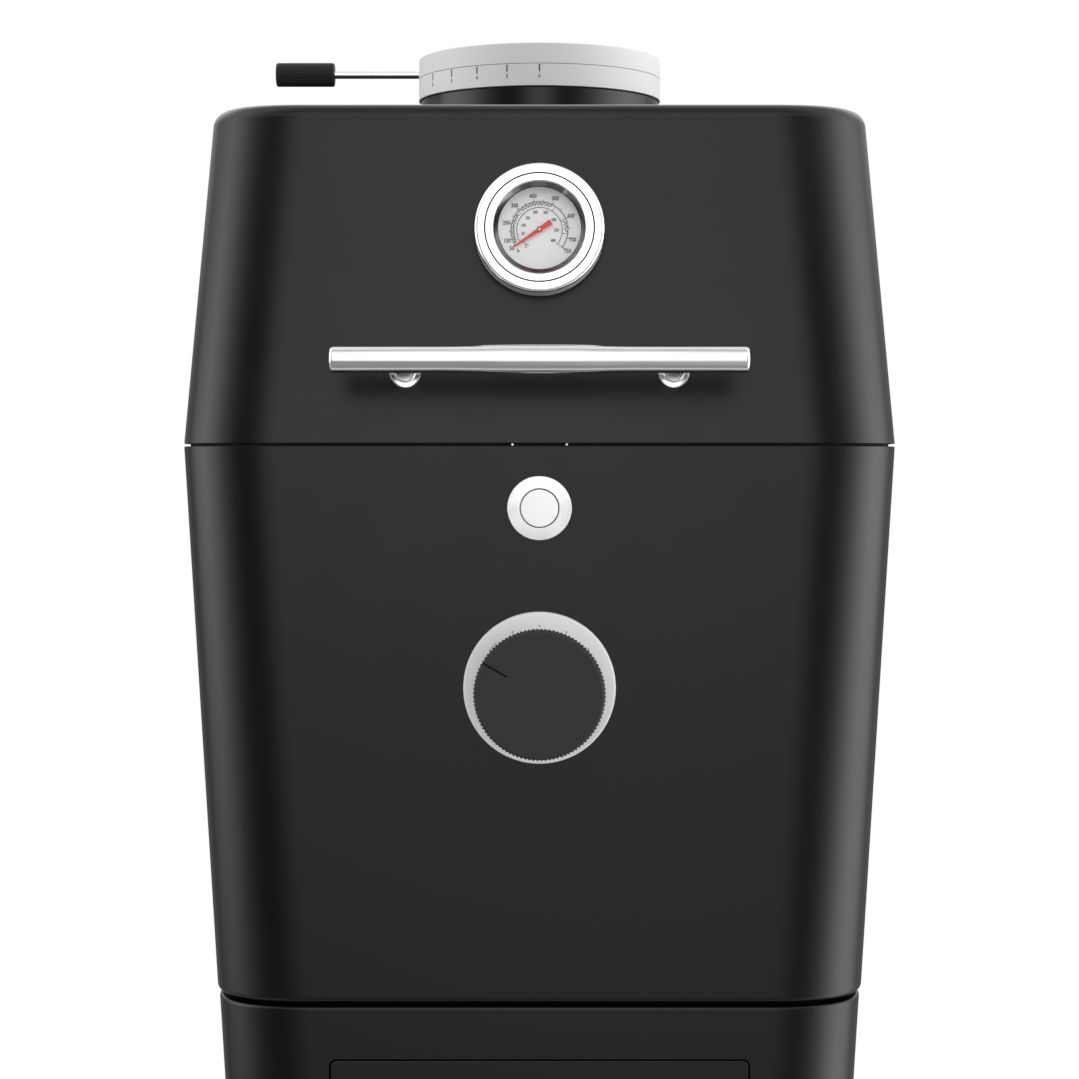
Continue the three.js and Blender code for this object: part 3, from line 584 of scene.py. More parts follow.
def makeHood():
    bm = bmesh.new()
    bottom, top = loft(bm, skin(hood["bottom"]), skin(hood["top"]))
    bevel(bm, top.edges[:], hood["round"], 7)
    openUp(bm, bottom)
    studs = [roundHole(hood["studHole"], places["handle"] @ Matrix.Translation((x, 0, 0)), 16)
             for x in (-handle["post"], handle["post"])]
    punch(bm, largest(bm, (0, -1, 0)), roundHole(hood["gaugeHole"], places["gauge"]), *studs)
    bridgeTo(bm, largest(bm, (0, 0, 1)),
             roundHole(hood["chimney"], lift(hood["top"]), 4 * (cabinet["cornerSteps"] + 1)))
    shell(bm, hood["wall"])
    soften(bm, hood["lip"], 2, 60)
    finishPiece(bm, "hood_skin", "hood", "black_painted_steel", ["hood_shell"])

    bm = bmesh.new()
    bottom, top = loft(bm, (liner["bottom"], *liner["brim"]), skin(liner["bottom"], liner["inset"]),
                       skin(liner["roof"] - cabinet["gap"], liner["inset"]))
    openUp(bm, bottom, top)
    shell(bm, liner["wall"])
    finishPiece(bm, "liner_walls", "hood", "plain_steel", ["hood_liner"])

    bm = bmesh.new()
    roof = skin(liner["roof"], liner["inset"])
    bridgeTo(bm, squareFace(bm, 0, *roof[1:]),
             roundHole(liner["bore"] + 1, None, 4 * (cabinet["cornerSteps"] + 1)))
    thicken(bm, liner["wall"])
    bmesh.ops.translate(bm, verts=bm.verts[:], vec=(0, 0, liner["roof"]))
    bore, outer = liner["bore"], hood["chimney"] - 1
    turn(bm, [(bore, liner["roof"]), (outer, liner["roof"]), (outer, hood["top"]),
              (bore, hood["top"])], ring=True)
    finishPiece(bm, "liner_top", "hood", "plain_steel", ["liner_roof"])
    print("hood made")


# The body and what closes it

body = {"bottom": 483, "top": 879, "wall": 3, "round": 4, "opening": (190, 40), "lip": 0.6,
        "buttonHole": 17, "shaftHole": 9, "inletHole": 5, "grilleHole": (70, 30, 3)}
rings = {  # z, (half, reach) outside and inside, depth, edge, slot, node
    "body_ledge": (871, (253.2, 68), (206, 60), 6, 1.2, "black_painted_steel", "body_rim"),
    "body_seal": (877.3, (252.4, 67.6), (236, 56), 6.4, 2.6, "black_felt", "body_gasket"),
    "base_spacer": (480.3, (215, 60), (185, 40), 2.4, 0.5, "black_plastic", "joint_spacer"),
}


def makeBody():
    bm = bmesh.new()
    bottom, top = loft(bm, skin(body["bottom"]), skin(body["top"]))
    openUp(bm, top)
    bevel(bm, bottom.edges[:], body["round"], 5)
    half, reach = body["opening"]
    bridgeTo(bm, largest(bm, (0, 0, -1)),
             squareHole(half, half, reach, lift(body["bottom"]), cabinet["cornerSteps"],
                        cabinet["squareness"]))
    punch(bm, largest(bm, (0, -1, 0)), roundHole(body["buttonHole"], places["button"]),
          roundHole(body["shaftHole"], places["knob"]))
    punch(bm, largest(bm, (0, 1, 0)), roundHole(body["inletHole"], places["inlet"]),
          squareHole(*body["grilleHole"], places["grille"]))
    shell(bm, body["wall"])
    soften(bm, body["lip"], 2, 60)
    finishPiece(bm, "body_skin", "cabinet", "black_painted_steel", ["body_shell"])
    for name, (z, outer, inner, depth, edge, slot, node) in rings.items():
        bm = bmesh.new()
        frameRing(bm, outer, inner, depth)
        soften(bm, edge, 3, 60)
        finishPiece(bm, name, "cabinet", slot, [node], lift(z))
    print("body made")


# The base with its drawer and feet

base = {"bottom": 25, "top": 480, "wall": 2.5, "inset": 1, "round": 2.5, "chute": 66.5,
        "lip": 0.5}
drawer = {"width": 298, "height": 140.69, "thick": 3, "corner": 4, "margin": 1.2, "notch": (60, 16, 6),
          "notchEnd": 2, "edge": 0.8, "trayEdge": 0.6}
footProfile = [(0, 0), (23.5, 0), (25, 1.5), (25, 11), (23, 14), (10, 20), (6, 20), (6, 24.7),
               (0, 24.7)]


def makeBase():
    bm = bmesh.new()
    bottom, top = loft(bm, skin(base["bottom"], base["inset"]), skin(base["top"], base["inset"]))
    openUp(bm, bottom)
    bevel(bm, top.edges[:], base["round"], 4)
    punch(bm, largest(bm, (0, 0, 1)), roundHole(base["chute"], lift(base["top"]), 64))
    margin = drawer["margin"]
    punch(bm, largest(bm, (0, -1, 0)),
          squareHole(drawer["width"] / 2 + margin, drawer["height"] / 2 + margin, drawer["corner"] + 1,
                     places["drawer"]))
    shell(bm, base["wall"])
    soften(bm, base["lip"], 2, 60)
    finishPiece(bm, "base_skin", "cabinet", "black_painted_steel", ["base_shell"])

    for node in [n for n in frame["nodes"] if n.startswith("foot_")]:
        low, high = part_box(node)
        x = 500 * (low.x + high.x)
        y = 500 * (low.y + high.y) - axisShift
        turnPiece(footProfile, 48, node.replace("foot", "levelling_foot"), "cabinet", "black_plastic",
                  [node], Matrix.Translation((x, y, 0)))
    print("base made")


def makeDrawer():
    wide, tall = drawer["width"] / 2, drawer["height"] / 2
    half, high, round_ = drawer["notch"]
    outline = [(-wide, tall), (-wide, -tall), (-half, -tall), (-half, high - tall)]
    outline += [(-x, y) for x, y in reversed(outline)]
    bm = bmesh.new()
    verts = [bm.verts.new((x, y, 0)) for x, y in outline]
    bm.faces.new(verts)
    for chosen, reach in ((verts[0:2] + verts[6:8], drawer["corner"]), (verts[3:5], round_),
                          ([verts[2], verts[5]], drawer["notchEnd"])):
        bevel(bm, chosen, reach, 6, "VERTICES")
    thicken(bm, drawer["thick"])
    soften(bm, drawer["edge"], 3)
    finishPiece(bm, "drawer_panel", "drawer", "black_painted_steel", ["drawer_front"],
                places["drawer"] @ lift(-drawer["thick"]))
    refineNode("ash_tray", "ash_tray_pan", "drawer", "plain_steel", drawer["trayEdge"])
    print("drawer made")


# What is inside the body

bowl = {"bottom": 585, "top": 877.3, "low": (150, 45), "high": (204, 60), "brim": (226, 62), "wall": 2,
        "outlet": 65, "inlet": 46, "edge": 0.6,
        "sleeve": [(42, -79), (50, -79), (50, -38), (42, -38)],  # round the inlet
        "pipe": [(63, 476), (65.5, 476), (65.5, 490.6), (80, 490.6), (80, 492.6), (65.5, 492.6),
                 (65.5, 584.7), (63, 584.7)]}
lugs = [(799.7, 150, 17), (857.7, 182, 22)]  # top, inner end, half width
lugDepth = 10
grate = {"z": 858, "half": 190, "reach": 52, "rim": 8, "depth": 8, "rod": 2.5, "pitch": 24, "count": 15,
         "edge": 1.6, "trim": 4, "corner": 150, "cornerTrim": 22}
coals = {"z": 606, "half": 142, "reach": 40, "depth": 8, "slot": 6, "pitch": 26, "count": 9,
         "long": 124, "corner": 80, "cornerLong": 98, "edge": 0.8, "leg": 110, "legHalf": 6}
deflector = {"z": 800, "half": 160, "reach": 45, "depth": 15, "edge": 3}


def bowlHalf(z):
    share = (z - bowl["bottom"]) / (bowl["top"] - bowl["bottom"])
    return bowl["low"][0] + (bowl["high"][0] - bowl["low"][0]) * share


def makeFireBowl():
    bm = bmesh.new()
    bottom, top = loft(bm, (bowl["bottom"], *bowl["low"]), (bowl["top"], *bowl["high"]),
                       (bowl["top"], *bowl["brim"]))
    openUp(bm, top)
    punch(bm, bottom, roundHole(bowl["outlet"], lift(bowl["bottom"]), 48))
    lean = math.atan((bowl["high"][0] - bowl["low"][0]) / (bowl["top"] - bowl["bottom"]))
    mouth = Matrix.Translation((0, -bowlHalf(knobHeight), knobHeight))
    mouth @= Matrix.Rotation(math.pi / 2 + lean, 4, "X")
    punch(bm, largest(bm, (0, -1, 0)), roundHole(bowl["inlet"], mouth, 40))
    shell(bm, bowl["wall"])
    for top, inner, half in lugs:
        for side in range(4):
            low = top - lugDepth
            verts = addBlock(bm, (inner, -half, low), (bowlHalf(low) - 1, half, top))
            bmesh.ops.rotate(bm, verts=verts, cent=(0, 0, 0),
                             matrix=Matrix.Rotation(side * math.pi / 2, 3, "Z"))
    leg, half = coals["leg"], coals["legHalf"]
    for x in (-leg, leg):
        for y in (-leg, leg):
            addBlock(bm, (x - half, y - half, bowl["bottom"] + 1),
                     (x + half, y + half, coals["z"] - cabinet["gap"]))
    soften(bm, bowl["edge"], 2, 60)
    sleeve = bmesh.new()
    turn(sleeve, bowl["sleeve"], 64, ring=True)
    join(bm, sleeve, places["knob"])
    finishPiece(bm, "fire_pot", "cabinet", "black_enamel", ["fire_bowl"])

    turnPiece(bowl["pipe"], 96, "ash_pipe", "cabinet", "plain_steel", ["ash_chute"], ring=True)
    print("fire bowl made")


def addRod(bm, radius, depth, place, steps=16):
    bmesh.ops.create_cone(bm, cap_ends=True, segments=steps, radius1=radius, radius2=radius, depth=depth,
                          matrix=place)


def makeBowlContents():
    bm = bmesh.new()
    half, reach, rim, rod = (grate[key] for key in ("half", "reach", "rim", "rod"))
    frameRing(bm, (half, reach), (half - rim, reach - rim), grate["depth"])
    soften(bm, grate["edge"], 3, 60)
    for i in range(grate["count"]):
        x = (i - (grate["count"] - 1) / 2) * grate["pitch"]
        trim = grate["cornerTrim"] if abs(x) > grate["corner"] else grate["trim"]
        addRod(bm, rod, 2 * (half - trim), Matrix.Translation((x, 0, 2 + rod)) @ upright)
    addRod(bm, rod, 2 * half - rim, lift(1 + rod) @ sideways)
    finishPiece(bm, "food_grate", "grate", "cast_iron", ["cooking_grate"],
                lift(grate["z"]))

    bm = bmesh.new()
    face = squareFace(bm, 0, coals["half"], coals["reach"])
    slots = []
    for i in range(coals["count"]):
        x = (i - (coals["count"] - 1) / 2) * coals["pitch"]
        long = coals["cornerLong"] if abs(x) > coals["corner"] else coals["long"]
        slots.append(squareHole(coals["slot"], long, coals["slot"] - 0.1, Matrix.Translation((x, 0, 0))))
    punch(bm, face, *slots)
    thicken(bm, coals["depth"])
    soften(bm, coals["edge"])
    finishPiece(bm, "coal_grate", "cabinet", "cast_iron", ["charcoal_grate"],
                lift(coals["z"]))

    bm = bmesh.new()
    low = (0, deflector["half"], deflector["reach"])
    loft(bm, low, (deflector["depth"], *low[1:]))
    soften(bm, deflector["edge"], 4, 60)
    finishPiece(bm, "heat_plate", "cabinet", "ceramic_plate", ["heat_deflector"],
                lift(deflector["z"]))
    print("grates made")


leads = {  # the same routes as the CAD leads, about the cabinet's axis
    "wire_button": [(-150, 180, 560.5), (-150, 180, 585), (-165, 178, 625), (-205, 150, 700),
                    (-222, 60, 760), (-225, -60, 790), (-205, -160, 815), (-120, -217, 832),
                    (-40, -217, 837.6), (-12.5, -217, 837.6)],
    "wire_igniter": [(-90, 180, 560.5), (-90, 180, 585), (-75, 200, 625), (-30, 224, 650),
                     (0, 221, 652), (0, 205.5, 650)],
}
leadRadius = 2.5


def makeLeads():
    for node, points in leads.items():
        bm = bmesh.new()
        addTube(bm, points, leadRadius, 12)
        finishPiece(bm, node.replace("wire", "lead"), "cabinet", "black_cable", [node])
    print("leads made")


# The back: hinge, air grille and power inlet

hinge = {"y": 271, "z": 884, "pin": 4, "head": 6.5, "outer": 110, "edge": 0.8, "leaf": 4.3}
screws = {"cabinet": (841, (-42, 0, 42)), "hood": (930, (-97, -74, 74, 97))}  # height, places across
screwProfile = [(0, -2), (4.6, -2), (4.6, 0.3), (3.9, 1.6), (2.2, 2.3), (1.9, 2.3), (1.9, 1), (0, 1)]
grilleEdge = 0.5
inlet = {"edge": 0.7, "pins": [(-7, -1.5), (0, 2.5), (7, -1.5)], "half": (1, 2.5), "from": 4, "to": 20,
         "pinEdge": 0.4}


def makeBack():
    for node in ("hinge_body_leaf", "hinge_hood_leaf_left", "hinge_hood_leaf_right"):
        rides = "hood" if "hood" in node else "cabinet"
        refineNode(node, node.replace("hinge", "strap"), rides, "black_painted_steel", hinge["edge"])
    foot, end, pin, head = hinge["outer"] + 0.5, hinge["outer"] + 4, hinge["pin"], hinge["head"]
    side = [(0, end), (head - 1, end), (head, end - 1), (head, foot), (pin, foot)]
    turnPiece(bothEnds(side), 48, "strap_pin", "cabinet", "brushed_steel", ["hinge_pin"],
              Matrix.Translation((0, hinge["y"], hinge["z"])) @ sideways)
    refineNode("rear_air_grille", "air_louvre", "cabinet", "black_painted_steel", grilleEdge)
    refineNode("power_inlet", "mains_inlet", "cabinet", "black_plastic", inlet["edge"])
    bm = bmesh.new()
    wide, tall = inlet["half"]
    for x, y in inlet["pins"]:
        addBlock(bm, (x - wide, y - tall, inlet["from"]), (x + wide, y + tall, inlet["to"]))
    soften(bm, inlet["pinEdge"])
    finishPiece(bm, "mains_pins", "cabinet", "brushed_steel", (), places["inlet"])
    spots = [(rides, z, x) for rides, (z, across) in screws.items() for x in across]
    for i, (rides, z, x) in enumerate(spots):
        turnPiece(screwProfile, 32, f"strap_screw_{i + 1}", rides, "brushed_steel", (),
                  panel(z, x=x, rear=True) @ lift(hinge["leaf"]))
    print("back made")


# The handle

handle = {
    "post": 93.9, "stand": 76,
    "tube": [(0, 141.2), (6.92, 141.2), (8.42, 140.5), (9.32, 138.8), (9.32, 66), (9.38, 58), (9.5, 50),
             (9.66, 42), (9.82, 36), (9.94, 30), (10.04, 22)],  # one end, in to the swell at the middle
    "leg": [(0, -8), (3, -8), (3, 0.3), (11.4, 0.3), (11.4, 2.6), (10.9, 3.6), (9.9, 4), (7.8, 4),
            (7.2, 4.3), (7, 5), (7, 69.8), (0, 69.8)],
}


def makeHandle():
    turnPiece(bothEnds(handle["tube"]), 96, "handle_tube", "hood", "brushed_steel", ["handle_bar"],
              places["handle"] @ lift(handle["stand"]) @ sideways)
    for name, side in (("left", -1), ("right", 1)):
        turnPiece(handle["leg"], 64, "handle_leg_" + name, "hood", "polished_steel",
                  ["handle_post_" + name],
                  places["handle"] @ Matrix.Translation((side * handle["post"], 0, 0)))
    print("handle made")


# The thermometer

gauge = {
    "bezel": [(6, 0.3), (45, 0.3), (45, 16.8), (45.5, 17), (45.5, 17.8), (45.1, 18.9), (44.3, 19.7),
              (43, 20), (38.7, 20), (38.6, 18.3), (37.7, 18.3), (37.6, 20), (33.2, 20), (32.8, 19.6),
              (32.8, 16), (31.1, 16), (31.1, 4), (6, 4)],
    "skirt": [(45.05, 0.5), (45.5, 0.5), (45.5, 16.8), (45.05, 16.8)],
    "rim": [(28.9, 15.65), (29.6, 15.65), (29.6, 15.8), (28.9, 15.8)],
    "groove": [(37.6, 18.4), (38.7, 18.4), (38.7, 19.2), (37.6, 19.2)],
    "cone": [(32.3, 19.6), (29.3, 16.3), (29.3, 15.85), (32.3, 15.85)],
    "dial": [(1.6, 6), (30.6, 6), (30.6, 7.2), (1.6, 7.2)],
    "glass": [(0, 13.6), (30.8, 13.6), (30.8, 15.6), (0, 15.6)],
    "face": 7.2, "rest": 214, "sweep": 251.5, "bow": 12.5, "lowest": 50, "highest": 750,
    "outer": 19.8, "inner": 16.0,  # the two arcs
    "needle": [(-9.7, -1.95), (-1.8, -1.5), (8, -1.1), (22.2, -0.5)],  # one side of its outline
    "needleDepth": 0.7, "needleLift": 9,
    "boss": [(0, -0.1), (2.1, -0.1), (2.1, 1.1), (1.8, 1.4), (0, 1.4)],
    "pin": [(0, 10.2), (0.8, 10.2), (0.8, 10.7), (0.5, 11), (0, 11)],
}
outerNumbers = [(50, 23.4), (100, 24), (200, 23.8), (300, 24.4), (400, 24.2), (500, 24.8), (600, 24.2),
                (700, 24.2), (750, 24.6)]  # value, radius
innerNumbers = [(10, 14.2), (50, 11.8), (100, 11.8), (150, 11.8), (200, 12.8), (250, 13), (300, 12.2),
                (350, 11.8), (400, 12.2)]
unitMarks = [("°F", 224.6, 21.6), ("°C", 229, 14.6)]  # words, degrees round the dial, radius
zoneEnds = [50, 290, 520, 600, 680, 750]
zones = [(70, 280), (310, 505), (610, 672)]  # filled with rows of short dashes
inkDepth = 0.06


def dialAngle(value):
    share = (value - gauge["lowest"]) / (gauge["highest"] - gauge["lowest"])
    turned = gauge["sweep"] * share - gauge["bow"] * math.sin(math.pi * share)
    return math.radians(gauge["rest"] - turned)


def innerAngle(value):  # Celsius, on the Fahrenheit scale
    return dialAngle(value * 1.8 + 32)


def dialSpot(angle, radius, height=0.0):
    return Matrix.Translation((radius * math.cos(angle), radius * math.sin(angle), height))


def addTick(bm, angle, inner, outer, width):
    half = (outer - inner) / 2
    verts = addBlock(bm, (-half, -width / 2, 0), (half, width / 2, inkDepth))
    place = dialSpot(angle, inner + half) @ Matrix.Rotation(angle, 4, "Z")
    bmesh.ops.transform(bm, matrix=place, verts=verts)


def addArc(bm, radius, start, end, width, steps=90):
    before = set(bm.faces)
    first = [bm.verts.new(Matrix.Rotation(start, 4, "Z") @ Vector((radius + side * width / 2, 0, 0)))
             for side in (-1, 1)]
    bmesh.ops.spin(bm, geom=first + [bm.edges.new(first)], cent=(0, 0, 0), axis=(0, 0, 1),
                   angle=end - start, steps=steps)
    band = [f for f in bm.faces if f not in before]
    pull(bm, band, (0, 0, inkDepth), use_keep_orig=True)


def makeGauge():
    place = places["gauge"]
    spun = makeFinish("turnedBezel", "polished", place, grain=(9000, 0.006), rough=0.24,
                      colour=(0.88, 0.88, 0.89))
    # the bezel's side gets a flat mid grey: painted shade for the polished side that faces down
    shadedSide = makeFinish("bezelSideShade", "greyCast", colour=(0.30, 0.30, 0.30))
    for name, profile, slot, nodes, finish in (
        ("gauge_rim", "bezel", "polished_steel", ["gauge_bezel"], spun),
        ("gauge_skirt", "skirt", "grey_metal", (), shadedSide),
        # a black ring filling the bezel's groove: painted shade
        ("gauge_groove", "groove", "black_plastic", (), made["inkAndShade"]),
        # a thin black ring at the foot of the cone, above the glass: painted shade where the parts meet
        ("gauge_cone_rim", "rim", "black_plastic", (), made["inkAndShade"]),
        # the inner cone is painted darker than the bezel's steel: painted shade in the recess
        ("gauge_cone", "cone", "polished_steel", (), made["shadedChrome"]),
        ("gauge_face", "dial", "white_plastic", ["gauge_dial"], made["dialWhite"]),
    ):
        turnPiece(gauge[profile], 128, name, "hood", slot, nodes, place, ring=True, finish=finish)
    turnPiece(gauge["glass"], 128, "gauge_window", "hood", "clear_glass", ["gauge_glass"], place)

    bm = bmesh.new()
    outer, inner, lowest, highest = (gauge[key] for key in ("outer", "inner", "lowest", "highest"))
    for radius, width in ((outer, 0.45), (inner, 0.4)):
        addArc(bm, radius, dialAngle(lowest), dialAngle(highest), width)
    for value in range(lowest, highest + 1, 10):
        long, wide = (1.7, 0.5) if value % 50 == 0 else (1.0, 0.28)
        if value % 100 == 0 or value in (lowest, highest):
            long = 2.2
        addTick(bm, dialAngle(value), outer, outer + long, wide)
    for value in range(10, 401, 10):
        addTick(bm, innerAngle(value), inner - (1.4 if value % 50 == 0 else 0.7), inner, 0.25)
    for value in zoneEnds:
        addTick(bm, dialAngle(value), inner, outer, 0.3)
    for first, last in zones:
        for value in range(first, last, 7):
            row = value // 7
            radius = 17.2 + 0.55 * (row % 3)
            addTick(bm, dialAngle(value), radius, radius + 1.1 + 0.4 * (row % 2), 0.55)
    for value, radius in outerNumbers:
        addText(bm, str(value), 4.2, dialSpot(dialAngle(value), radius), bold=0.1, narrow=0.8)
    for value, radius in innerNumbers:
        addText(bm, str(value), 3.0, dialSpot(innerAngle(value), radius), bold=0.09, narrow=0.75)
    for words, degrees, radius in unitMarks:
        spot = dialSpot(math.radians(degrees), radius) @ Matrix.Rotation(-0.6, 4, "Z")
        addText(bm, words, 3.4, spot, bold=0.1, narrow=0.85)
    finishPiece(bm, "gauge_print", "hood", "black_plastic", (), place @ lift(gauge["face"]),
                finish=made["inkAndShade"])

    bm = bmesh.new()
    outline = gauge["needle"] + [(x, -y) for x, y in reversed(gauge["needle"])]
    bm.faces.new([bm.verts.new((x, y, 0)) for x, y in outline])
    thicken(bm, gauge["needleDepth"])
    turn(bm, gauge["boss"], 48)
    finishPiece(bm, "gauge_needle", "needle", "pointer_red", ["gauge_pointer"],
                place @ lift(gauge["needleLift"]) @ Matrix.Rotation(math.radians(gauge["rest"]), 4, "Z"))
    turnPiece(gauge["pin"], 24, "gauge_needle_pin", "needle", "white_plastic", (), place)
    print("thermometer made")


# The top vent

vent = {
    "collar": [(72, 1121.3), (94, 1121.3), (94, 1152), (93.7, 1152.9), (93, 1153.2), (72, 1153.2)],
    "ring": [(76, 1153.5), (95.3, 1153.5), (95.6, 1153.8), (95.4, 1169.9), (95.2, 1170.1), (84, 1170.1),
             (84, 1164), (76, 1164)],
    "cap": [(84, 1170.4), (95.2, 1170.4), (95.4, 1170.6), (95.4, 1185), (95.1, 1185.7), (94.4, 1186),
            (85, 1186), (84, 1185.2)],
    "pivot": [(0, 1158), (8, 1158), (8, 1163.9), (4, 1163.9), (4, 1174.4), (9, 1174.4), (9, 1176.4),
              (8.3, 1177.6), (6, 1178.7), (0, 1179)],
    "marks": [(6, 0), (5, 15), (4, 30), (3, 45), (2, 60)],  # number, degrees to the left of the front
    "print": 95.62, "tick": (0.4, 2.7, 0.6), "tickAt": 1166.8, "numberAt": 1160.8, "number": 4.2,
    "numberDepth": 0.12,
    "windows": (22, 70), "sweep": 84, "hub": 4.3, "edge": 0.5,
    "lid": (84.3, 3, 90, 1171), "shutter": (83.5, 4, 0, 1164.4),  # radius, depth, turned by, height
}
lever = {"rod": 3.1, "from": 86, "to": 196, "grip": 9.35, "gripFrom": 162.4, "gripTo": 208.7,
         "flutes": 36, "flute": 0.35}


def ventPlate(bm, radius, depth, middle, z):
    rim = bmesh.ops.create_circle(bm, cap_ends=True, radius=radius, segments=96)["verts"]
    windows = [sectorHole(*vent["windows"], middle + half, vent["sweep"]) for half in (0, 180)]
    punch(bm, rim[0].link_faces[0], roundHole(vent["hub"], None, 32), *windows)
    thicken(bm, depth)
    soften(bm, vent["edge"])
    bmesh.ops.translate(bm, verts=bm.verts[:], vec=(0, 0, z))


def makeVent():
    turnPiece(vent["collar"], 160, "vent_neck", "hood", "black_painted_steel", ["vent_collar"],
              ring=True)
    turnPiece(vent["ring"], 160, "vent_scale", "hood", "grey_metal", ["scale_ring"], ring=True)
    bm = bmesh.new()
    ventPlate(bm, *vent["lid"])
    turn(bm, vent["cap"], 160, ring=True)
    finishPiece(bm, "vent_lid", "vent", "grey_metal", ["vent_cap"])
    bm = bmesh.new()
    ventPlate(bm, *vent["shutter"])
    finishPiece(bm, "vent_shutter", "hood", "grey_metal", ["vent_seat"])
    turnPiece(vent["pivot"], 48, "vent_bolt", "hood", "brushed_steel", ["vent_pivot"])

    ticks, numbers = bmesh.new(), bmesh.new()
    wide, tall, deep = vent["tick"]
    for number, degrees in vent["marks"]:
        around = Matrix.Rotation(-math.radians(degrees), 4, "Z")
        verts = addBlock(ticks, (-wide, -tall, -deep), (wide, tall, 0))
        spot = around @ Matrix.Translation((0, -vent["print"], vent["tickAt"])) @ upright
        bmesh.ops.transform(ticks, matrix=spot, verts=verts)
        spot = around @ Matrix.Translation((0, -vent["print"], vent["numberAt"])) @ upright
        addText(numbers, str(number), vent["number"], spot, vent["numberDepth"])
    finishPiece(ticks, "vent_ticks", "hood", "black_plastic", finish=made["inkAndShade"])
    finishPiece(numbers, "vent_numbers", "hood", "black_plastic", finish=made["greyInk"])

    rod, start, end = lever["rod"], lever["from"], lever["to"]
    turnPiece([(0, start), (rod, start), (rod, end), (0, end)], 48, "lever_bar", "vent",
              "brushed_steel", ["lever_rod"], places["lever"])
    bm = bmesh.new()
    grip, low, high, steps = lever["grip"], lever["gripFrom"], lever["gripTo"], lever["flutes"] * 4
    turn(bm, [(0, low), (7.6, low), (8.8, low + 0.4), (grip, low + 1.4), (grip, high - 1.4),
              (8.8, high - 0.4), (7.6, high), (0, high)], steps)
    flute(bm, steps, 4, grip, grip - 0.1, lever["flute"])
    finishPiece(bm, "lever_handle", "vent", "black_plastic", ["lever_grip"], places["lever"], 20)
    print("vent made")


# The air knob and the igniter button

knob = {
    "profile": [(0, 43), (43.6, 43), (45.0, 42.6), (45.9, 41.6), (45.9, 36), (44.4, 34.6), (30, 10),
                (5.3, 10), (5.3, 32), (0, 32)],
    "rim": 45.9, "teeth": 100, "tooth": 1.1,
    "line": {"angle": 150, "from": 25.5, "to": 44.8, "width": 1.35, "z": (42, 43.06)},
    "plate": [(5.3, -12), (8.7, -12), (8.7, 0.3), (53.65, 0.3), (53.65, 4.6), (53.2, 5.6), (52.2, 6),
              (5.3, 6)],
    "top": 6, "dots": [0, 25.5, -25.5, 51], "dotRing": 44.2, "dot": 0.55, "dash": (43, 53, 0.4),
}
button = {
    "coil": {"radius": 8, "wire": 0.7, "turns": 5, "top": -9.2, "bottom": -21.8, "pressed": 0.75},
    "bezel": [(5, -26), (16.5, -26), (16.5, 0.3), (22.55, 0.3), (22.55, 2.7), (22.3, 3), (14.2, 3.5),
              (13.9, 3.3), (13.9, -23), (5, -23)],
    "buffers": {"x": 19, "y": -256.5, "radius": 0.95},  # two in the seam under the hood
    "cap": [(0, 4), (11.6, 4), (12.9, 3.5), (13.4, 2.3), (13.4, -8), (4, -8), (4, -23.5), (0, -23.5)],
}


def makeKnob():
    place = places["knob"]
    bm = bmesh.new()
    steps, rim = 2 * knob["teeth"], knob["rim"]
    turn(bm, knob["profile"], steps)
    flute(bm, steps, 2, rim, rim - 1, knob["tooth"])
    finishPiece(bm, "air_knob", "knob", "knob_black", ["control_knob"], place, 25)
    # the knob's pointer line is a black strip on its face: the mark itself, and painted shade standing
    # for its engraved groove
    bm = bmesh.new()
    line = knob["line"]
    half, (low, high) = line["width"] / 2, line["z"]
    addBlock(bm, (line["from"], -half, low), (line["to"], half, high))
    finishPiece(bm, "air_knob_line", "knob", "black_plastic", (),
                place @ Matrix.Rotation(math.radians(line["angle"]), 4, "Z"), finish=made["inkAndShade"])

    spun = makeFinish("turnedDial", "greyCast", place, grain=(7000, 0.004), rough=0.45,
                      colour=(0.72, 0.72, 0.715))
    turnPiece(knob["plate"], 128, "air_dial", "cabinet", "grey_metal", ["dial_ring"], place, ring=True,
              finish=spun)
    bm, arc = bmesh.new(), bmesh.new()
    for degrees in knob["dots"]:
        spot = dialSpot(math.radians(90 - degrees), knob["dotRing"], knob["top"] + 0.05)
        addRod(bm, knob["dot"], 0.1, spot, 20)
    first, last, width = knob["dash"]
    addArc(arc, knob["dotRing"], math.radians(90 + first), math.radians(90 + last), width, steps=12)
    join(bm, arc, lift(knob["top"] + 0.04))
    finishPiece(bm, "air_dial_marks", "cabinet", "black_plastic", (), place, finish=made["greyInk"])
    print("knob made")


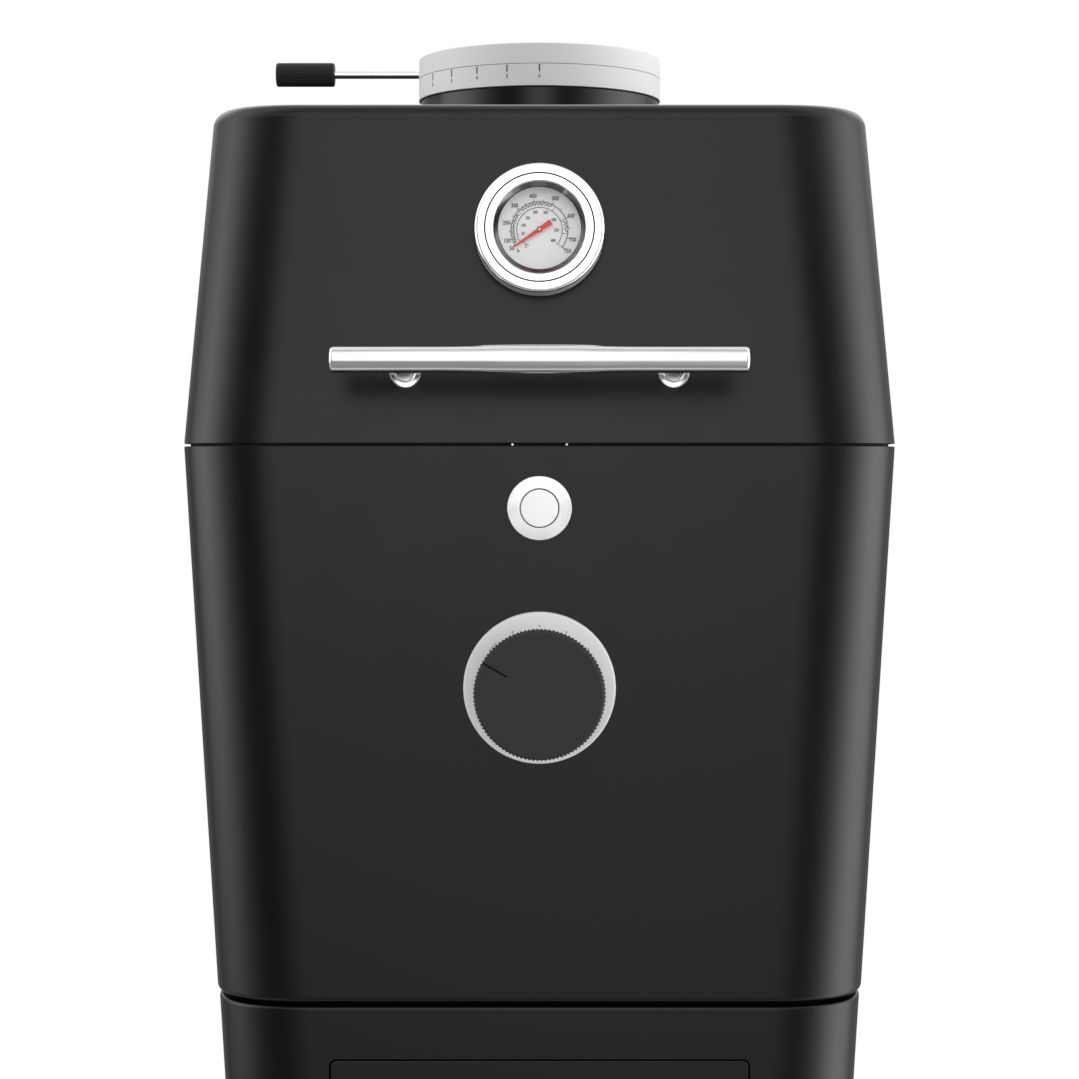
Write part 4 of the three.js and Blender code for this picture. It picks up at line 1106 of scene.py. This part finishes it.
def makeButton():
    place = places["button"]
    spun = makeFinish("turnedButton", "brushed", place, grain=(9000, 0.02), rough=0.25)
    turnPiece(button["bezel"], 96, "button_ring", "cabinet", "brushed_steel", ["button_bezel"], place,
              ring=True, finish=spun)
    turnPiece(button["cap"], 96, "button_top", "button", "white_plastic", ["button_cap"], place)
    coil = button["coil"]
    points = []
    for i in range(coil["turns"] * 8 + 1):
        angle = i * fullTurn / 8
        fall = (coil["top"] - coil["bottom"]) * i / (coil["turns"] * 8)
        points.append((coil["radius"] * math.cos(angle), coil["radius"] * math.sin(angle),
                       coil["top"] - fall))
    bm = bmesh.new()
    addTube(bm, points, coil["wire"], 4)
    piece = finishPiece(bm, "button_coil", "cabinet", "plain_steel", ["button_spring"], place)
    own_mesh(piece)
    bm = bmesh.new()
    buffers = button["buffers"]
    for x in (-buffers["x"], buffers["x"]):
        bmesh.ops.create_uvsphere(bm, u_segments=16, v_segments=10, radius=buffers["radius"],
                                  matrix=Matrix.Translation((x, buffers["y"], cabinet["seam"])))
    finishPiece(bm, "seam_buffers", "cabinet", "polished_steel")
    print("button made")


# The rest of the CAD nodes take a finish each

def paintNodes():
    slotOf = {part["node"]: part["material_slot"] for part in frame["record"]["subparts"]}
    for name, node in frame["nodes"].items():
        if not node.material_slots:
            node.data.materials.append(None)
        for place in node.material_slots:
            place.material = made[slotFinish[slotOf[name]]]
    print("CAD nodes painted")


def makeFloor():
    bm = bmesh.new()
    bmesh.ops.create_circle(bm, cap_ends=True, radius=0.5, segments=128,
                            matrix=Matrix.Translation((0, axisShift / 1000, -0.0002)))
    mesh = bpy.data.meshes.new("floor")
    bm.to_mesh(mesh)
    bm.free()
    mesh.materials.append(made["floor"])
    floor = bpy.data.objects.new("floor", mesh)
    scene.collection.objects.link(floor)


makeCamera()
makeStudio()
makeFloor()
makeHood()
makeBody()
makeBase()
makeDrawer()
makeFireBowl()
makeBowlContents()
makeLeads()
makeBack()
makeHandle()
makeGauge()
makeVent()
makeKnob()
makeButton()
paintNodes()
